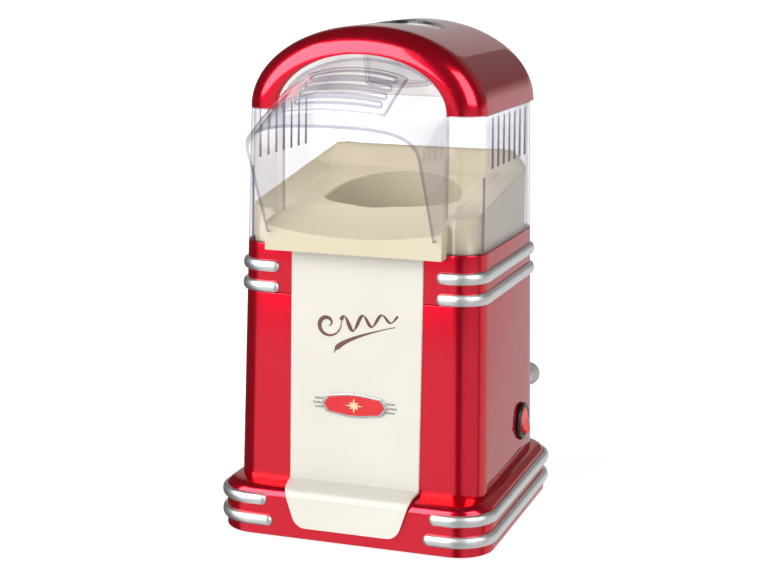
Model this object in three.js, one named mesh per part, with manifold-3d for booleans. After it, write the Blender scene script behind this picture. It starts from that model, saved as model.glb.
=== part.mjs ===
// A retro table-top hot-air popcorn maker: a stepped base, a leaning red body with a cream front,
// a cream tray with a popping well, a clear hood with a clear visor, and an arched red roof.
// Millimetres, +Z up, front towards -Y, on/off switch on the +X side.
import * as THREE from "three";
import { mergeVertices } from "three/addons/utils/BufferGeometryUtils.js";
import Module from "manifold-3d";

const wasm = await Module();
wasm.setup();

// ---- Driving dimensions ------------------------------------------------------------------------
const GAP = 0.3; // clearance between neighbouring pieces
const TOTAL_HEIGHT = 300;
const STACK = TOTAL_HEIGHT / 300; // stretches every height that follows the overall one
const BODY_WIDTH = 152; // at the foot of the body
const BODY_DEPTH = 134.6;
const BODY_CORNER = 17;
const BODY_FOOT = 33; // height of the body's lower edge
const BODY_TOP = 174 * STACK; // top of the collar
const SEAM = BODY_TOP - 29.2; // joint between the body shell and its collar
const EAVES = TOTAL_HEIGHT - 48.5; // where the hood ends and the roof begins
const LEAN = 0.0222; // how far each wall leans in, per millimetre of height
const WALL = 2.4; // moulded opaque walls
const CLEAR_WALL = 1.8; // moulded clear walls
const BASE_WIDTH = BODY_WIDTH + 14;
const BASE_DEPTH = BODY_DEPTH + 27.4;
const BASE_CORNER = 22;
const BASE_SHIFT = 1.2; // the base sits this much further back than the body
const BASE_LIP = 1.5; // gap under the skirt that the feet hold open
const SHOULDER = 30.5; // height where the base starts to slope in
const FOOT_RADIUS = 8;
const FOOT_INSET = 30; // foot centre to base wall
const FOOT_HEIGHT = 4;
const PANEL_WIDTH = 80;
const PANEL_THICK = 1.1;
const APRON_FOOT_WIDTH = 62;
const APRON_FOLD_WIDTH = 75; // where the apron turns down over the shoulder
const APRON_BOTTOM = 9;
const APRON_THICK = 2;
const BADGE_WIDTH = 52;
const BADGE_HEIGHT = 15.5;
const BADGE_THICK = 1.2;
const BADGE_MIDDLE = 82.5 * STACK; // height of the badge's centre
const TRIM_HEIGHT = 7;
const TRIM_PROUD = 2.6;
const COLLAR_TRIM_HEIGHTS = [BODY_TOP - 13.3, BODY_TOP - 25.6];
const COLLAR_TRIM_END = 49.5; // half the gap between a trim's two ends
const BASE_TRIM_HEIGHTS = [23.4, 10.8];
const BASE_TRIM_END = 50;
const VISOR_WIDTH = 101;
const LIP_WIDTH = VISOR_WIDTH + 5; // pouring lip of the tray
const LIP_REACH = 10; // how far the lip stands in front of the body
const LIP_DROP = 2; // how far it hooks down over the collar
const WELL_RADIUS = 41;
const WELL_WALL = 2;
const WELL_RIM = 196 * STACK;
const WELL_BOTTOM = 160 * STACK;
const TRAY_BACK = 220 * STACK;
const TRAY_BACK_HALF = 57; // half the width of the tray's level rear edge
const VISOR_CROWN = 30.5; // rise of the visor's arch above the eaves
const VISOR_BOTTOM = 186 * STACK;
const VISOR_REACH = 52; // how far the visor's crown stands in front of the body
const VISOR_SAG = 32; // how far the crown falls towards the front
const VISOR_DIP = 3; // how far its bottom edge falls towards the front
const VISOR_RAKE = 0.58; // forward lean of the visor's rim
const LOUVRES = 4;
const LOUVRE_WIDTH = 51;
const LOUVRE_START = 0.25; // place of the first slot, as a share of the visor's reach
const LOUVRE_PITCH = 0.13;
const LOUVRE_HALF = 0.04;
const ROOF_NOSE = 15.5; // radius of the roof's rounded front edge
const ROOF_HEEL = 6; // radius of its rear edge
const ROOF_MOUTH_WIDTH = VISOR_WIDTH + 1;
const ROOF_MOUTH_RISE = VISOR_CROWN + 2.5;
const CUP_RADIUS = 23;
const CUP_FLANGE = CUP_RADIUS + 4;
const CUP_DEPTH = 38;
const CUP_SHIFT = 8; // cup centre behind the body centre
const CUP_SEAT = 6.5; // depth of the cup's seat below the roof's crown
const BROW_BACK = 8; // the hood's upper front stands this far behind its lower front
const BROW_INSET = 6.2;
const SLOTS = 7;
const SLOT_PITCH = 12.3;
const SLOT_WIDTH = 1.6;
const SLOT_BOTTOM = EAVES - 31;
const SWITCH_HEIGHT = 55.3;
const SWITCH_BACK = 28.9; // switch centre behind the body centre
const SWITCH_HOLE = 10;
const SWITCH_RADIUS = SWITCH_HOLE + 2;
const ROCKER_TILT = 12; // degrees the rocker leans in each of its two places
const POST_SPREAD = BODY_WIDTH / 2 - 12.5; // half the distance between the cord posts
const POST_HEIGHT = 69;
const POST_REACH = 30;
const POST_RADIUS = 4.6;
const POST_FLANGE = 7.4;
const CHAMBER_RADIUS = WELL_RADIUS + 1;
const CHAMBER_BOTTOM = 104 * STACK;
const CHAMBER_WALL = 0.8;
const DUCT_RADIUS = CHAMBER_RADIUS + 8;
const DUCT_FLANGE = 5;
const DUCT_BOTTOM = 88 * STACK;
const FAN_RADIUS = 38;
const FAN_BLADES = 10;
const FAN_FLOOR = 52 * STACK;
const FAN_HEIGHT = 12 * STACK;
const MOTOR_RADIUS = 17;
const MOTOR_BOTTOM = 12;
const MOTOR_TOP = 44 * STACK;
const SHAFT_RADIUS = 1.6;
const SCREW_RADIUS = 1.8;
const VENTS = 6;
const VENT_PITCH = 9;
const VENT_WIDTH = 4;
const VENT_BOTTOM = 104 * STACK;
const VENT_TOP = 128 * STACK;
const CORD_HOLE = 6;
const CORD_HEIGHT = 47;

// ---- Derived places ----------------------------------------------------------------------------
const halfWidthAt = (z) => BODY_WIDTH / 2 - LEAN * (z - BODY_FOOT);
const halfDepthAt = (z) => BODY_DEPTH / 2 - LEAN * (z - BODY_FOOT);
const ROOF_RISE = TOTAL_HEIGHT - EAVES - GAP;
const FRONT = -halfDepthAt(BODY_TOP);
const LIP_FRONT = FRONT - LIP_REACH;
const BROW = BROW_BACK - halfDepthAt(EAVES);

// ---- Finishes ----------------------------------------------------------------------------------
const finish = (color, roughness, metalness, extra = {}) =>
  new THREE.MeshStandardMaterial({ color, roughness, metalness, ...extra });
const clear = { transparent: true, opacity: 0.35 };
const RED = finish(0xb0122b, 0.25, 0.55);
const CREAM = finish(0xefebdd, 0.4, 0);
const TRAY_CREAM = finish(0xe6dcc4, 0.5, 0);
const SILVER = finish(0xd5dbd8, 0.25, 0.9);
const CLEAR = finish(0xe9e9f2, 0.08, 0, clear);
const BLACK = finish(0x161616, 0.5, 0);
const RUBBER = finish(0x2a2a2a, 0.9, 0);
const ROCKER_RED = finish(0xe23a45, 0.2, 0, { transparent: true, opacity: 0.85 });
const ALUMINIUM = finish(0xc9ccd0, 0.35, 1);
const STEEL = finish(0xa9adb2, 0.4, 1);
const GREY_PLASTIC = finish(0xb9b9b6, 0.5, 0);
const HEAT_PLASTIC = finish(0x4b4743, 0.6, 0);
const MICA = finish(0xb9ab88, 0.6, 0);
const BRASS = finish(0xb08d4a, 0.4, 1);
const BOARD = finish(0x2f5a3a, 0.6, 0);
const BADGE = finish(0xc9ccd0, 0.2, 1);

// ---- Solid tools -------------------------------------------------------------------------------
// A closed geometry as a solid that can be joined and cut.
function solid(geometry) {
  const bare = geometry.clone();
  bare.deleteAttribute("normal");
  bare.deleteAttribute("uv");
  const merged = mergeVertices(bare, 1e-4);
  const vertProperties = new Float32Array(merged.attributes.position.array);
  const triVerts = new Uint32Array(merged.index.array);
  return new wasm.Manifold(new wasm.Mesh({ numProp: 3, vertProperties, triVerts }));
}

// A solid back as a geometry with flat-shaded faces.
function geometryOf(made) {
  const m = made.getMesh();
  const geometry = new THREE.BufferGeometry();
  geometry.setAttribute("position", new THREE.BufferAttribute(new Float32Array(m.vertProperties), 3));
  geometry.setIndex(new THREE.BufferAttribute(new Uint32Array(m.triVerts), 1));
  const flat = geometry.toNonIndexed();
  flat.computeVertexNormals();
  return flat;
}

const cut = (body, ...tools) => tools.reduce((made, tool) => made.subtract(tool), body);
const join = (body, ...more) => more.reduce((made, piece) => made.add(piece), body);

const popcornMaker = new THREE.Group();

function addPiece(name, shape, material) {
  const geometry = shape.isBufferGeometry ? shape : geometryOf(shape);
  const mesh = new THREE.Mesh(geometry, material);
  mesh.name = name;
  popcornMaker.add(mesh);
  return mesh;
}

// ---- Shape tools -------------------------------------------------------------------------------
function roundedRect(width, depth, radius) {
  const x = width / 2 - radius;
  const y = depth / 2 - radius;
  const shape = new THREE.Shape();
  shape.absarc(x, y, radius, 0, Math.PI / 2);
  shape.absarc(-x, y, radius, Math.PI / 2, Math.PI);
  shape.absarc(-x, -y, radius, Math.PI, 1.5 * Math.PI);
  shape.absarc(x, -y, radius, 1.5 * Math.PI, 2 * Math.PI);
  return shape;
}

function polygon(points) {
  return new THREE.Shape(points.map(([x, y]) => new THREE.Vector2(x, y)));
}

// A shape in the XY plane raised from z0 to z1.
function prism(shape, z0, z1, steps = 1, curveSegments = 4) {
  const settings = { depth: z1 - z0, bevelEnabled: false, steps, curveSegments };
  return new THREE.ExtrudeGeometry(shape, settings).translate(0, 0, z0);
}

// A shape drawn in X and Z, carried along Y from y0 (front) to y1 (back).
function slab(shape, y0, y1, steps = 1, curveSegments = 8) {
  return prism(shape, 0, y1 - y0, steps, curveSegments).rotateX(Math.PI / 2).translate(0, y1, 0);
}

// A shape drawn in Y and Z, carried along X from x0 to x1.
function rib(shape, x0, x1) {
  const settings = { depth: x1 - x0, bevelEnabled: false, curveSegments: 6 };
  const geometry = new THREE.ExtrudeGeometry(shape, settings);
  return geometry.rotateX(Math.PI / 2).rotateZ(Math.PI / 2).translate(x0, 0, 0);
}

function box(x0, x1, y0, y1, z0, z1) {
  const geometry = new THREE.BoxGeometry(x1 - x0, y1 - y0, z1 - z0);
  return geometry.translate((x0 + x1) / 2, (y0 + y1) / 2, (z0 + z1) / 2);
}

// An upright cylinder from z0 to z1.
function drum(radius, z0, z1, sides = 24) {
  const geometry = new THREE.CylinderGeometry(radius, radius, z1 - z0, sides);
  return geometry.rotateX(Math.PI / 2).translate(0, 0, (z0 + z1) / 2);
}

// A solid of revolution about Z: profile is a list of [radius, height] that runs round the section.
function turned(profile, sides = 32) {
  const points = profile.map(([r, z]) => new THREE.Vector2(r, z));
  if (THREE.ShapeUtils.area(points) < 0) points.reverse();
  return new THREE.LatheGeometry(points, sides).rotateX(Math.PI / 2);
}

// Moves each vertex of a geometry by a rule that takes and returns x, y and z.
function reshape(geometry, rule) {
  const p = geometry.attributes.position;
  for (let i = 0; i < p.count; i += 1) {
    p.setXYZ(i, ...rule(p.getX(i), p.getY(i), p.getZ(i)));
  }
  return geometry;
}

// The lean of the body's walls, as a scale about the upright axis that depends on height.
function lean(geometry) {
  return reshape(geometry, (x, y, z) => {
    const inset = LEAN * (z - BODY_FOOT);
    return [x * (1 - (2 * inset) / BODY_WIDTH), y * (1 - (2 * inset) / BODY_DEPTH), z];
  });
}

// A rounded-rectangle column whose outline steps in or out with height: rows of {inset, z}.
function profiled(width, depth, radius, rows) {
  const steps = rows.length - 1;
  const cx = width / 2 - radius;
  const cy = depth / 2 - radius;
  const clamp = THREE.MathUtils.clamp;
  return reshape(prism(roundedRect(width, depth, radius), 0, steps, steps), (x, y, level) => {
    const row = rows[Math.round(level)];
    const keep = (radius - row.inset) / radius;
    const ax = clamp(x, -cx, cx);
    const ay = clamp(y, -cy, cy);
    return [ax + (x - ax) * keep, ay + (y - ay) * keep, row.z];
  });
}

// The inside or outside of the leaning body, shrunk by inset.
function bodyColumn(inset, z0, z1) {
  const shape = roundedRect(BODY_WIDTH - 2 * inset, BODY_DEPTH - 2 * inset, BODY_CORNER - inset);
  return solid(lean(prism(shape, z0, z1)));
}

// Rows of a quarter round that brings an outline in by radius while it covers radius of length.
function quarterRound(end, radius, direction, steps) {
  return Array.from({ length: steps + 1 }, (_, k) => {
    const angle = (k / steps) * (Math.PI / 2);
    return { at: end + direction * radius * (1 - Math.cos(angle)), inset: radius * (1 - Math.sin(angle)) };
  });
}

// A half-round bead on an outline, as rows for profiled.
function beadRows(height, middle, proud) {
  const steps = 4;
  return Array.from({ length: steps + 1 }, (_, k) => {
    const angle = (k / steps - 0.5) * Math.PI;
    return { inset: -proud * Math.cos(angle), z: middle + (height / 2) * Math.sin(angle) };
  });
}

const smooth = (t) => THREE.MathUtils.smoothstep(t, 0, 1);

// ---- Base --------------------------------------------------------------------------------------
const SKIRT_ROWS = [
  { inset: 0, z: BASE_LIP },
  { inset: 0.6, z: SHOULDER - 5 },
  { inset: 1.4, z: SHOULDER - 2.5 },
  { inset: 3.4, z: SHOULDER - 0.7 },
  { inset: 6, z: SHOULDER },
  { inset: 12, z: BODY_FOOT - 1 },
];
const baseShift = (made) => made.translate([0, BASE_SHIFT, 0]);

function addBaseSkirt() {
  const outer = solid(profiled(BASE_WIDTH, BASE_DEPTH, BASE_CORNER, SKIRT_ROWS));
  const innerRows = SKIRT_ROWS.map(({ inset, z }) => ({ inset: inset + WALL, z: z - WALL }));
  const inner = solid(profiled(BASE_WIDTH, BASE_DEPTH, BASE_CORNER, innerRows));
  const mouth = bodyColumn(WALL + 3, 0, BODY_FOOT + 1);
  addPiece("base_skirt", cut(baseShift(outer), baseShift(inner), mouth), RED);
}

function addBaseTrims() {
  const outline = [BASE_WIDTH + 2 * GAP, BASE_DEPTH + 2 * GAP, BASE_CORNER + GAP];
  BASE_TRIM_HEIGHTS.forEach((middle, k) => {
    const bead = solid(profiled(...outline, beadRows(TRIM_HEIGHT, middle, TRIM_PROUD)));
    const core = solid(prism(roundedRect(...outline), 0, SHOULDER));
    const end = BASE_TRIM_END - 3.5 * k;
    const gap = solid(box(-end, end, -BASE_DEPTH, 0, 0, SHOULDER));
    addPiece(["trim_base_upper", "trim_base_lower"][k], cut(baseShift(bead), baseShift(core), gap), SILVER);
  });
}

// The cream tongue that runs from the front panel over the base's shoulder and down its face.
function addApron() {
  const face = BASE_SHIFT - BASE_DEPTH / 2 - GAP;
  const rows = SKIRT_ROWS.slice(1);
  const under = rows.map(({ inset, z }) => [face + inset, z + GAP]);
  const over = rows.map(({ inset, z }) => {
    const turn = Math.min(inset / 6, 1);
    return [face + inset - APRON_THICK * (1 - turn), z + GAP + APRON_THICK * turn];
  });
  const outer = polygon([
    [face - APRON_THICK, APRON_BOTTOM],
    [face, APRON_BOTTOM],
    ...under,
    ...over.reverse(),
  ]);
  const top = PANEL_WIDTH / 2;
  const fold = APRON_FOLD_WIDTH / 2;
  const foot = APRON_FOOT_WIDTH / 2;
  const outline = polygon([
    [-top, BODY_FOOT + 4],
    [-top, BODY_FOOT + 1.3],
    [-fold, SHOULDER + 1],
    [-foot - 1, APRON_BOTTOM + 3],
    [-foot + 3, APRON_BOTTOM - 1],
    [foot - 3, APRON_BOTTOM - 1],
    [foot + 1, APRON_BOTTOM + 3],
    [fold, SHOULDER + 1],
    [top, BODY_FOOT + 1.3],
    [top, BODY_FOOT + 4],
  ]);
  const strip = solid(rib(outer, -top - 5, top + 5));
  addPiece("base_apron", strip.intersect(solid(slab(outline, face - 10, 0))), CREAM);
}

const footPlaces = [-1, 1].flatMap((sx) =>
  [-1, 1].map((sy) => [
    sx * (BASE_WIDTH / 2 - FOOT_INSET),
    BASE_SHIFT + sy * (BASE_DEPTH / 2 - FOOT_INSET),
    `${sy < 0 ? "front" : "rear"}_${sx < 0 ? "left" : "right"}`,
  ]),
);

function addBasePlate() {
  const margin = WALL + GAP + 0.6;
  const outline = roundedRect(BASE_WIDTH - 2 * margin, BASE_DEPTH - 2 * margin, BASE_CORNER - margin);
  const slots = Array.from({ length: 9 }, (_, k) => {
    const x = (k - 4) * 7;
    return solid(box(x - 1.75, x + 1.75, -28, 28, 0, 20));
  });
  const plate = solid(prism(outline, FOOT_HEIGHT + GAP, FOOT_HEIGHT + GAP + WALL));
  addPiece("base_plate", cut(baseShift(plate), ...slots), BLACK);
  footPlaces.forEach(([x, y, place]) => {
    const profile = [[0, 0], [FOOT_RADIUS - 1, 0], [FOOT_RADIUS, 1], [FOOT_RADIUS, FOOT_HEIGHT],
      [0, FOOT_HEIGHT]];
    const foot = turned(profile, 14);
    addPiece(`foot_${place}`, foot.translate(x, y, 0), RUBBER);
  });
  footPlaces.forEach(([x, y, place]) => {
    const top = FOOT_HEIGHT + WALL + 2 * GAP;
    const profile = [[0, top], [SCREW_RADIUS * 2, top], [SCREW_RADIUS * 2, top + 1.6],
      [SCREW_RADIUS, top + 2.4], [SCREW_RADIUS, top + 9], [0, top + 10]];
    const screw = turned(profile, 8);
    addPiece(`base_screw_${place}`, screw.translate(x * 0.8, y, 0), STEEL);
  });
}

// ---- Body --------------------------------------------------------------------------------------
function switchPlace(reach) {
  const turn = new THREE.Matrix4().makeRotationY(Math.PI / 2);
  return turn.setPosition(reach, SWITCH_BACK, SWITCH_HEIGHT);
}

function addBodyShell() {
  const outer = bodyColumn(0, BODY_FOOT, SEAM);
  const inner = bodyColumn(WALL, BODY_FOOT - 1, SEAM + 1);
  const hole = solid(drum(SWITCH_HOLE, -10, 10).applyMatrix4(switchPlace(BODY_WIDTH / 2)));
  const vents = Array.from({ length: VENTS }, (_, k) => {
    const x = (k - (VENTS - 1) / 2) * VENT_PITCH;
    const half = VENT_WIDTH / 2;
    return solid(box(x - half, x + half, 0, BODY_DEPTH, VENT_BOTTOM, VENT_TOP));
  });
  const bore = drum(CORD_HOLE, 0, 20).rotateX(-Math.PI / 2);
  const gland = solid(bore.translate(0, BODY_DEPTH / 2 - 10, CORD_HEIGHT));
  addPiece("body_shell", cut(outer, inner, hole, gland, ...vents), RED);
}

function addBodyCollar() {
  const outer = bodyColumn(0, SEAM + GAP, BODY_TOP);
  const inner = bodyColumn(WALL, SEAM, BODY_TOP + 1);
  const within = bodyColumn(WALL + 5, BODY_TOP - 7, BODY_TOP - 3);
  const ledge = cut(bodyColumn(1, BODY_TOP - 6, BODY_TOP - 4), within);
  addPiece("body_collar", join(cut(outer, inner), ledge), RED);
}

function addFrontPanel() {
  const half = PANEL_WIDTH / 2;
  const y = -BODY_DEPTH / 2 - GAP;
  const top = BODY_TOP - LIP_DROP - GAP;
  const plate = lean(box(-half, half, y - PANEL_THICK, y, BODY_FOOT + 2 + GAP, top));
  addPiece("front_panel", reshape(plate, (x, yy, z) => [Math.sign(x) * half, yy, z]), CREAM);
}

function addCollarTrims() {
  const outline = [BODY_WIDTH + 2 * GAP, BODY_DEPTH + 2 * GAP, BODY_CORNER + GAP];
  COLLAR_TRIM_HEIGHTS.forEach((middle, k) => {
    const bead = solid(lean(profiled(...outline, beadRows(TRIM_HEIGHT, middle, TRIM_PROUD))));
    const core = solid(lean(prism(roundedRect(...outline), SEAM - 10, BODY_TOP)));
    const end = COLLAR_TRIM_END;
    const gap = solid(box(-end, end, -BODY_DEPTH, 0, SEAM - 10, BODY_TOP));
    addPiece(["trim_collar_upper", "trim_collar_lower"][k], cut(bead, core, gap), SILVER);
  });
}

// The upper edge of the badge from one point to the other, as shares of its half width and height.
const BADGE_OUTLINE = [
  [-1, 0], [-0.72, 0.62], [-0.4, 0.66], [-0.24, 1],
  [0.24, 1], [0.4, 0.66], [0.72, 0.62], [1, 0],
];

// An elongated ornament with pointed ends, without lettering.
function addBadge() {
  const upper = BADGE_OUTLINE.map(([x, z]) => [x * (BADGE_WIDTH / 2), z * (BADGE_HEIGHT / 2)]);
  const lower = upper.slice(1, -1).map(([x, z]) => [x, -z]).reverse();
  const plate = slab(polygon([...upper, ...lower]), -BADGE_THICK, 0);
  const y = -halfDepthAt(BADGE_MIDDLE) - PANEL_THICK - 3 * GAP;
  addPiece("front_badge", plate.rotateX(-LEAN).translate(0, y, BADGE_MIDDLE), BADGE);
}

function addCordFittings() {
  [-1, 1].forEach((side) => {
    const profile = [[0, 0], [POST_RADIUS + 1.5, 0], [POST_RADIUS + 1.5, 2], [POST_RADIUS, 4],
      [POST_RADIUS, POST_REACH - 7], [POST_FLANGE, POST_REACH - 5], [POST_FLANGE, POST_REACH - 1.5],
      [POST_FLANGE - 1.5, POST_REACH], [0, POST_REACH]];
    const post = turned(profile, 14).rotateX(-Math.PI / 2);
    post.translate(side * POST_SPREAD, halfDepthAt(POST_HEIGHT - POST_RADIUS * 2) + GAP + 0.2, POST_HEIGHT);
    // The corner of the body is round here, so the post's foot is cut to follow it.
    const root = drum(POST_RADIUS, -12, 4, 14).rotateX(-Math.PI / 2);
    root.translate(side * POST_SPREAD, halfDepthAt(POST_HEIGHT), POST_HEIGHT);
    const trimmed = cut(join(solid(post), solid(root)), bodyColumn(-GAP, BODY_FOOT, SEAM));
    addPiece(side < 0 ? "cord_post_left" : "cord_post_right", trimmed, GREY_PLASTIC);
  });
  const profile = [[3, -6], [5.6, -6], [5.6, 2.8], [8.5, 2.8], [8.5, 4.4], [5.4, 7], [3, 7], [3, -6]];
  const gland = turned(profile, 14).rotateX(-Math.PI / 2);
  addPiece("cord_gland", gland.translate(0, halfDepthAt(CORD_HEIGHT - 8) - 2, CORD_HEIGHT), BLACK);
}

// ---- Switch ------------------------------------------------------------------------------------
function addSwitch() {
  const wall = halfWidthAt(SWITCH_HEIGHT - SWITCH_RADIUS);
  const rim = [[SWITCH_HOLE - 1.6, -1], [SWITCH_HOLE - 1.6, 2.2], [SWITCH_RADIUS - 1.2, 2.2],
    [SWITCH_RADIUS, 1.2], [SWITCH_RADIUS, GAP], [SWITCH_HOLE - GAP, GAP], [SWITCH_HOLE - GAP, -6],
    [SWITCH_HOLE - 1.6, -6], [SWITCH_HOLE - 1.6, -1]];
  addPiece("switch_bezel", turned(rim, 20).applyMatrix4(switchPlace(wall)), BLACK);
  const can = [[0, -22], [SWITCH_HOLE - 1, -22], [SWITCH_HOLE - 1, -6 - GAP], [0, -6 - GAP]];
  addPiece("switch_body", turned(can, 20).applyMatrix4(switchPlace(wall)), BLACK);
  // The rocker's top is a shallow V: the upper half is flush while the lower half stands out.
  const radius = SWITCH_HOLE - 1.6 - 2 * GAP;
  const tilt = THREE.MathUtils.degToRad(ROCKER_TILT);
  const top = (z) => 3 + Math.abs(z) * Math.tan(tilt);
  const corners = [[-radius, 0], [radius, 0], [radius, top(radius)], [0, top(0)], [-radius, top(radius)]];
  const section = polygon(corners);
  const wedge = solid(slab(section, -radius, radius));
  const round = solid(drum(radius, -3, 12));
  const body = wedge.intersect(round);
  const geometry = geometryOf(body).translate(0, 0, -2).rotateY(-tilt);
  addPiece("switch_rocker", geometry.applyMatrix4(switchPlace(wall)), ROCKER_RED);
}

// ---- Tray --------------------------------------------------------------------------------------
// Height of the tray's dished top: a ramp from the lip to the well, rising to a wall at the back.
function trayTop(x, y) {
  const wellFront = -WELL_RADIUS;
  const side = Math.abs(x);
  const behind = THREE.MathUtils.clamp(y / WELL_RADIUS, 0, 1) * 11;
  const sides = 5.5 * THREE.MathUtils.clamp((side - WELL_RADIUS) / 29, 0, 1) ** 2;
  const back = (TRAY_BACK - WELL_RIM - 11) * smooth((y - WELL_RADIUS) / 15);
  const corner = 1 - THREE.MathUtils.clamp((side - TRAY_BACK_HALF) / (70 - TRAY_BACK_HALF), 0, 1);
  const forward = Math.max(0, wellFront - y);
  const block = smooth((side - 50) / 11);
  const ramp = forward * 0.441 - 5 * (side / 50) ** 2 * (forward / 34);
  const raised = behind + sides * smooth((y + 60) / 60) + back * corner;
  return WELL_RIM + raised - ramp * (1 - block) - block * 1.5;
}

// A block whose top follows the tray's surface, lowered by drop.
function trayBlock(x0, x1, y0, y1, z0, drop, cells) {
  const block = new THREE.BoxGeometry(x1 - x0, y1 - y0, 1, cells, cells, 1);
  block.translate((x0 + x1) / 2, (y0 + y1) / 2, 0);
  return solid(reshape(block, (x, y, z) => [x, y, z < 0 ? z0 : trayTop(x, y) - drop]));
}

function addTray() {
  const half = BODY_WIDTH / 2;
  const depth = BODY_DEPTH / 2;
  const bottom = BODY_TOP - 4 + GAP;
  const skirt = bodyColumn(WALL + GAP + 0.4, bottom, TRAY_BACK + 5);
  const dish = trayBlock(-half, half, -depth, depth, bottom, 0, 16).intersect(skirt);
  const under = trayBlock(-half, half, -depth, depth, bottom - 5, 3.4, 8);
  const hollow = under.intersect(bodyColumn(WALL + GAP + 3, bottom - 5, TRAY_BACK + 5));
  const neck = LIP_WIDTH / 2 - 4;
  const neckBlock = trayBlock(-neck, neck, FRONT - 3, FRONT + 8, BODY_TOP + GAP, 0, 6);
  const lipHalf = LIP_WIDTH / 2;
  const lipBack = FRONT - PANEL_THICK - 3 * GAP - 0.3;
  const lip = trayBlock(-lipHalf, lipHalf, LIP_FRONT, lipBack, BODY_TOP - LIP_DROP, 0, 6);
  const inset = lipHalf - 2.5;
  const lipUnder = solid(box(-inset, inset, LIP_FRONT + 2.5, lipBack - 2, BODY_TOP - 5, BODY_TOP + 3));
  const tube = solid(drum(WELL_RADIUS + WELL_WALL, WELL_BOTTOM, WELL_RIM + 12, 28));
  const tubeTop = trayBlock(-half, half, -depth, depth, WELL_BOTTOM - 1, 0, 16);
  const bore = solid(drum(WELL_RADIUS, WELL_BOTTOM - 1, TRAY_BACK + 10, 28));
  const dished = join(cut(dish, hollow), neckBlock, cut(lip, lipUnder), tube.intersect(tubeTop));
  addPiece("popcorn_tray", cut(dished, bore), TRAY_CREAM);
}

// ---- Hood and visor ----------------------------------------------------------------------------
function archShape(halfWidth, rise, drop) {
  const shape = new THREE.Shape();
  shape.moveTo(halfWidth, -drop);
  shape.lineTo(halfWidth, 0);
  shape.absellipse(0, 0, halfWidth, rise, 0, Math.PI);
  shape.lineTo(-halfWidth, -drop);
  return shape;
}

function addHood() {
  const outer = bodyColumn(0, BODY_TOP + GAP, EAVES);
  const inner = bodyColumn(CLEAR_WALL, BODY_TOP, EAVES + 1);
  const mouthHalf = VISOR_WIDTH / 2 + GAP;
  const mouthDrop = EAVES - BODY_TOP + 5;
  const mouth = slab(archShape(mouthHalf, VISOR_CROWN + GAP, mouthDrop), FRONT - 5, BROW + 8, 1, 12);
  const browShape = archShape(halfWidthAt(EAVES) - BROW_INSET, ROOF_RISE - BROW_INSET, CLEAR_WALL);
  const brow = slab(browShape, BROW, BROW + CLEAR_WALL, 1, 14);
  const slotTop = EAVES - 2;
  const slots = Array.from({ length: SLOTS }, (_, k) => {
    const y = (k - (SLOTS - 1) / 2) * SLOT_PITCH;
    const half = SLOT_WIDTH / 2;
    return solid(box(-BODY_WIDTH, BODY_WIDTH, y - half, y + half, SLOT_BOTTOM, slotTop));
  });
  const shelf = halfWidthAt(EAVES) - BROW_INSET;
  const ledge = box(-shelf, shelf, 1 - halfDepthAt(EAVES), BROW + CLEAR_WALL, EAVES - CLEAR_WALL, EAVES);
  const bridge = solid(ledge);
  const walls = join(cut(outer, inner), bridge, solid(brow.translate(0, 0, EAVES)));
  addPiece("clear_hood", cut(walls, solid(mouth.translate(0, 0, EAVES)), ...slots), CLEAR);
}

// The visor starts as a straight tunnel and is then drawn forward, down and raked.
const visorRim = (z) => FRONT - VISOR_REACH + VISOR_RAKE * (TOTAL_HEIGHT - 50 - z);

function drawVisor(x, y, z) {
  const along = THREE.MathUtils.clamp(-y, 0, 1);
  const high = smooth((z - VISOR_BOTTOM) / (EAVES - 6 - VISOR_BOTTOM));
  const fall = VISOR_SAG - 13 * (x / (VISOR_WIDTH / 2)) ** 2;
  const sunk = z - along * (high * fall + (1 - high) * VISOR_DIP);
  const back = BROW + 1;
  return [x, back + along * (visorRim(sunk) - back), sunk];
}

function addVisor() {
  const half = VISOR_WIDTH / 2;
  const wall = CLEAR_WALL;
  const drop = EAVES - VISOR_BOTTOM;
  const section = new THREE.Shape();
  section.moveTo(half, -drop);
  section.lineTo(half, -drop / 2);
  section.absellipse(0, 0, half, VISOR_CROWN, 0, Math.PI);
  section.lineTo(-half, -drop / 2);
  section.lineTo(-half, -drop);
  section.lineTo(-half + wall, -drop);
  section.lineTo(-half + wall, -drop / 2);
  section.absellipse(0, 0, half - wall, VISOR_CROWN - wall, Math.PI, 0, true);
  section.lineTo(half - wall, -drop / 2);
  section.lineTo(half - wall, -drop);
  const tunnel = slab(section, -1, 0, 5, 10).translate(0, 0, EAVES);
  const shell = solid(reshape(tunnel, drawVisor));
  const slots = Array.from({ length: LOUVRES }, (_, k) => {
    const start = -(LOUVRE_START + LOUVRE_PITCH * k) - LOUVRE_HALF;
    const wide = LOUVRE_WIDTH / 2;
    const slot = box(-wide, wide, start, start + 2 * LOUVRE_HALF, EAVES - 2, EAVES + 45);
    return solid(reshape(slot, drawVisor));
  });
  const lipHalf = LIP_WIDTH / 2 + GAP;
  const rest = trayBlock(-lipHalf, lipHalf, LIP_FRONT - GAP, FRONT + 20, BODY_TOP - 10, -3 * GAP, 8);
  addPiece("visor", cut(shell, rest, ...slots), CLEAR);
}

// ---- Roof and measuring cup --------------------------------------------------------------------
// A barrel with an elliptical section whose outline comes in towards each end.
function barrel(halfWidth, rise, drop, rows) {
  const steps = rows.length - 1;
  return reshape(slab(archShape(halfWidth, rise, drop), -steps, 0, steps, 14), (x, y, z) => {
    const row = rows[Math.round(-y)];
    const sx = (halfWidth - row.inset) / halfWidth;
    const sz = (rise - row.inset) / rise;
    return [x * sx, row.at, EAVES + GAP + (z > 0 ? z * sz : z)];
  });
}

function barrelRows(back, front, heel, nose) {
  return [...quarterRound(back, heel, -1, 2), ...quarterRound(front, nose, 1, 4).reverse()];
}

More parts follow.
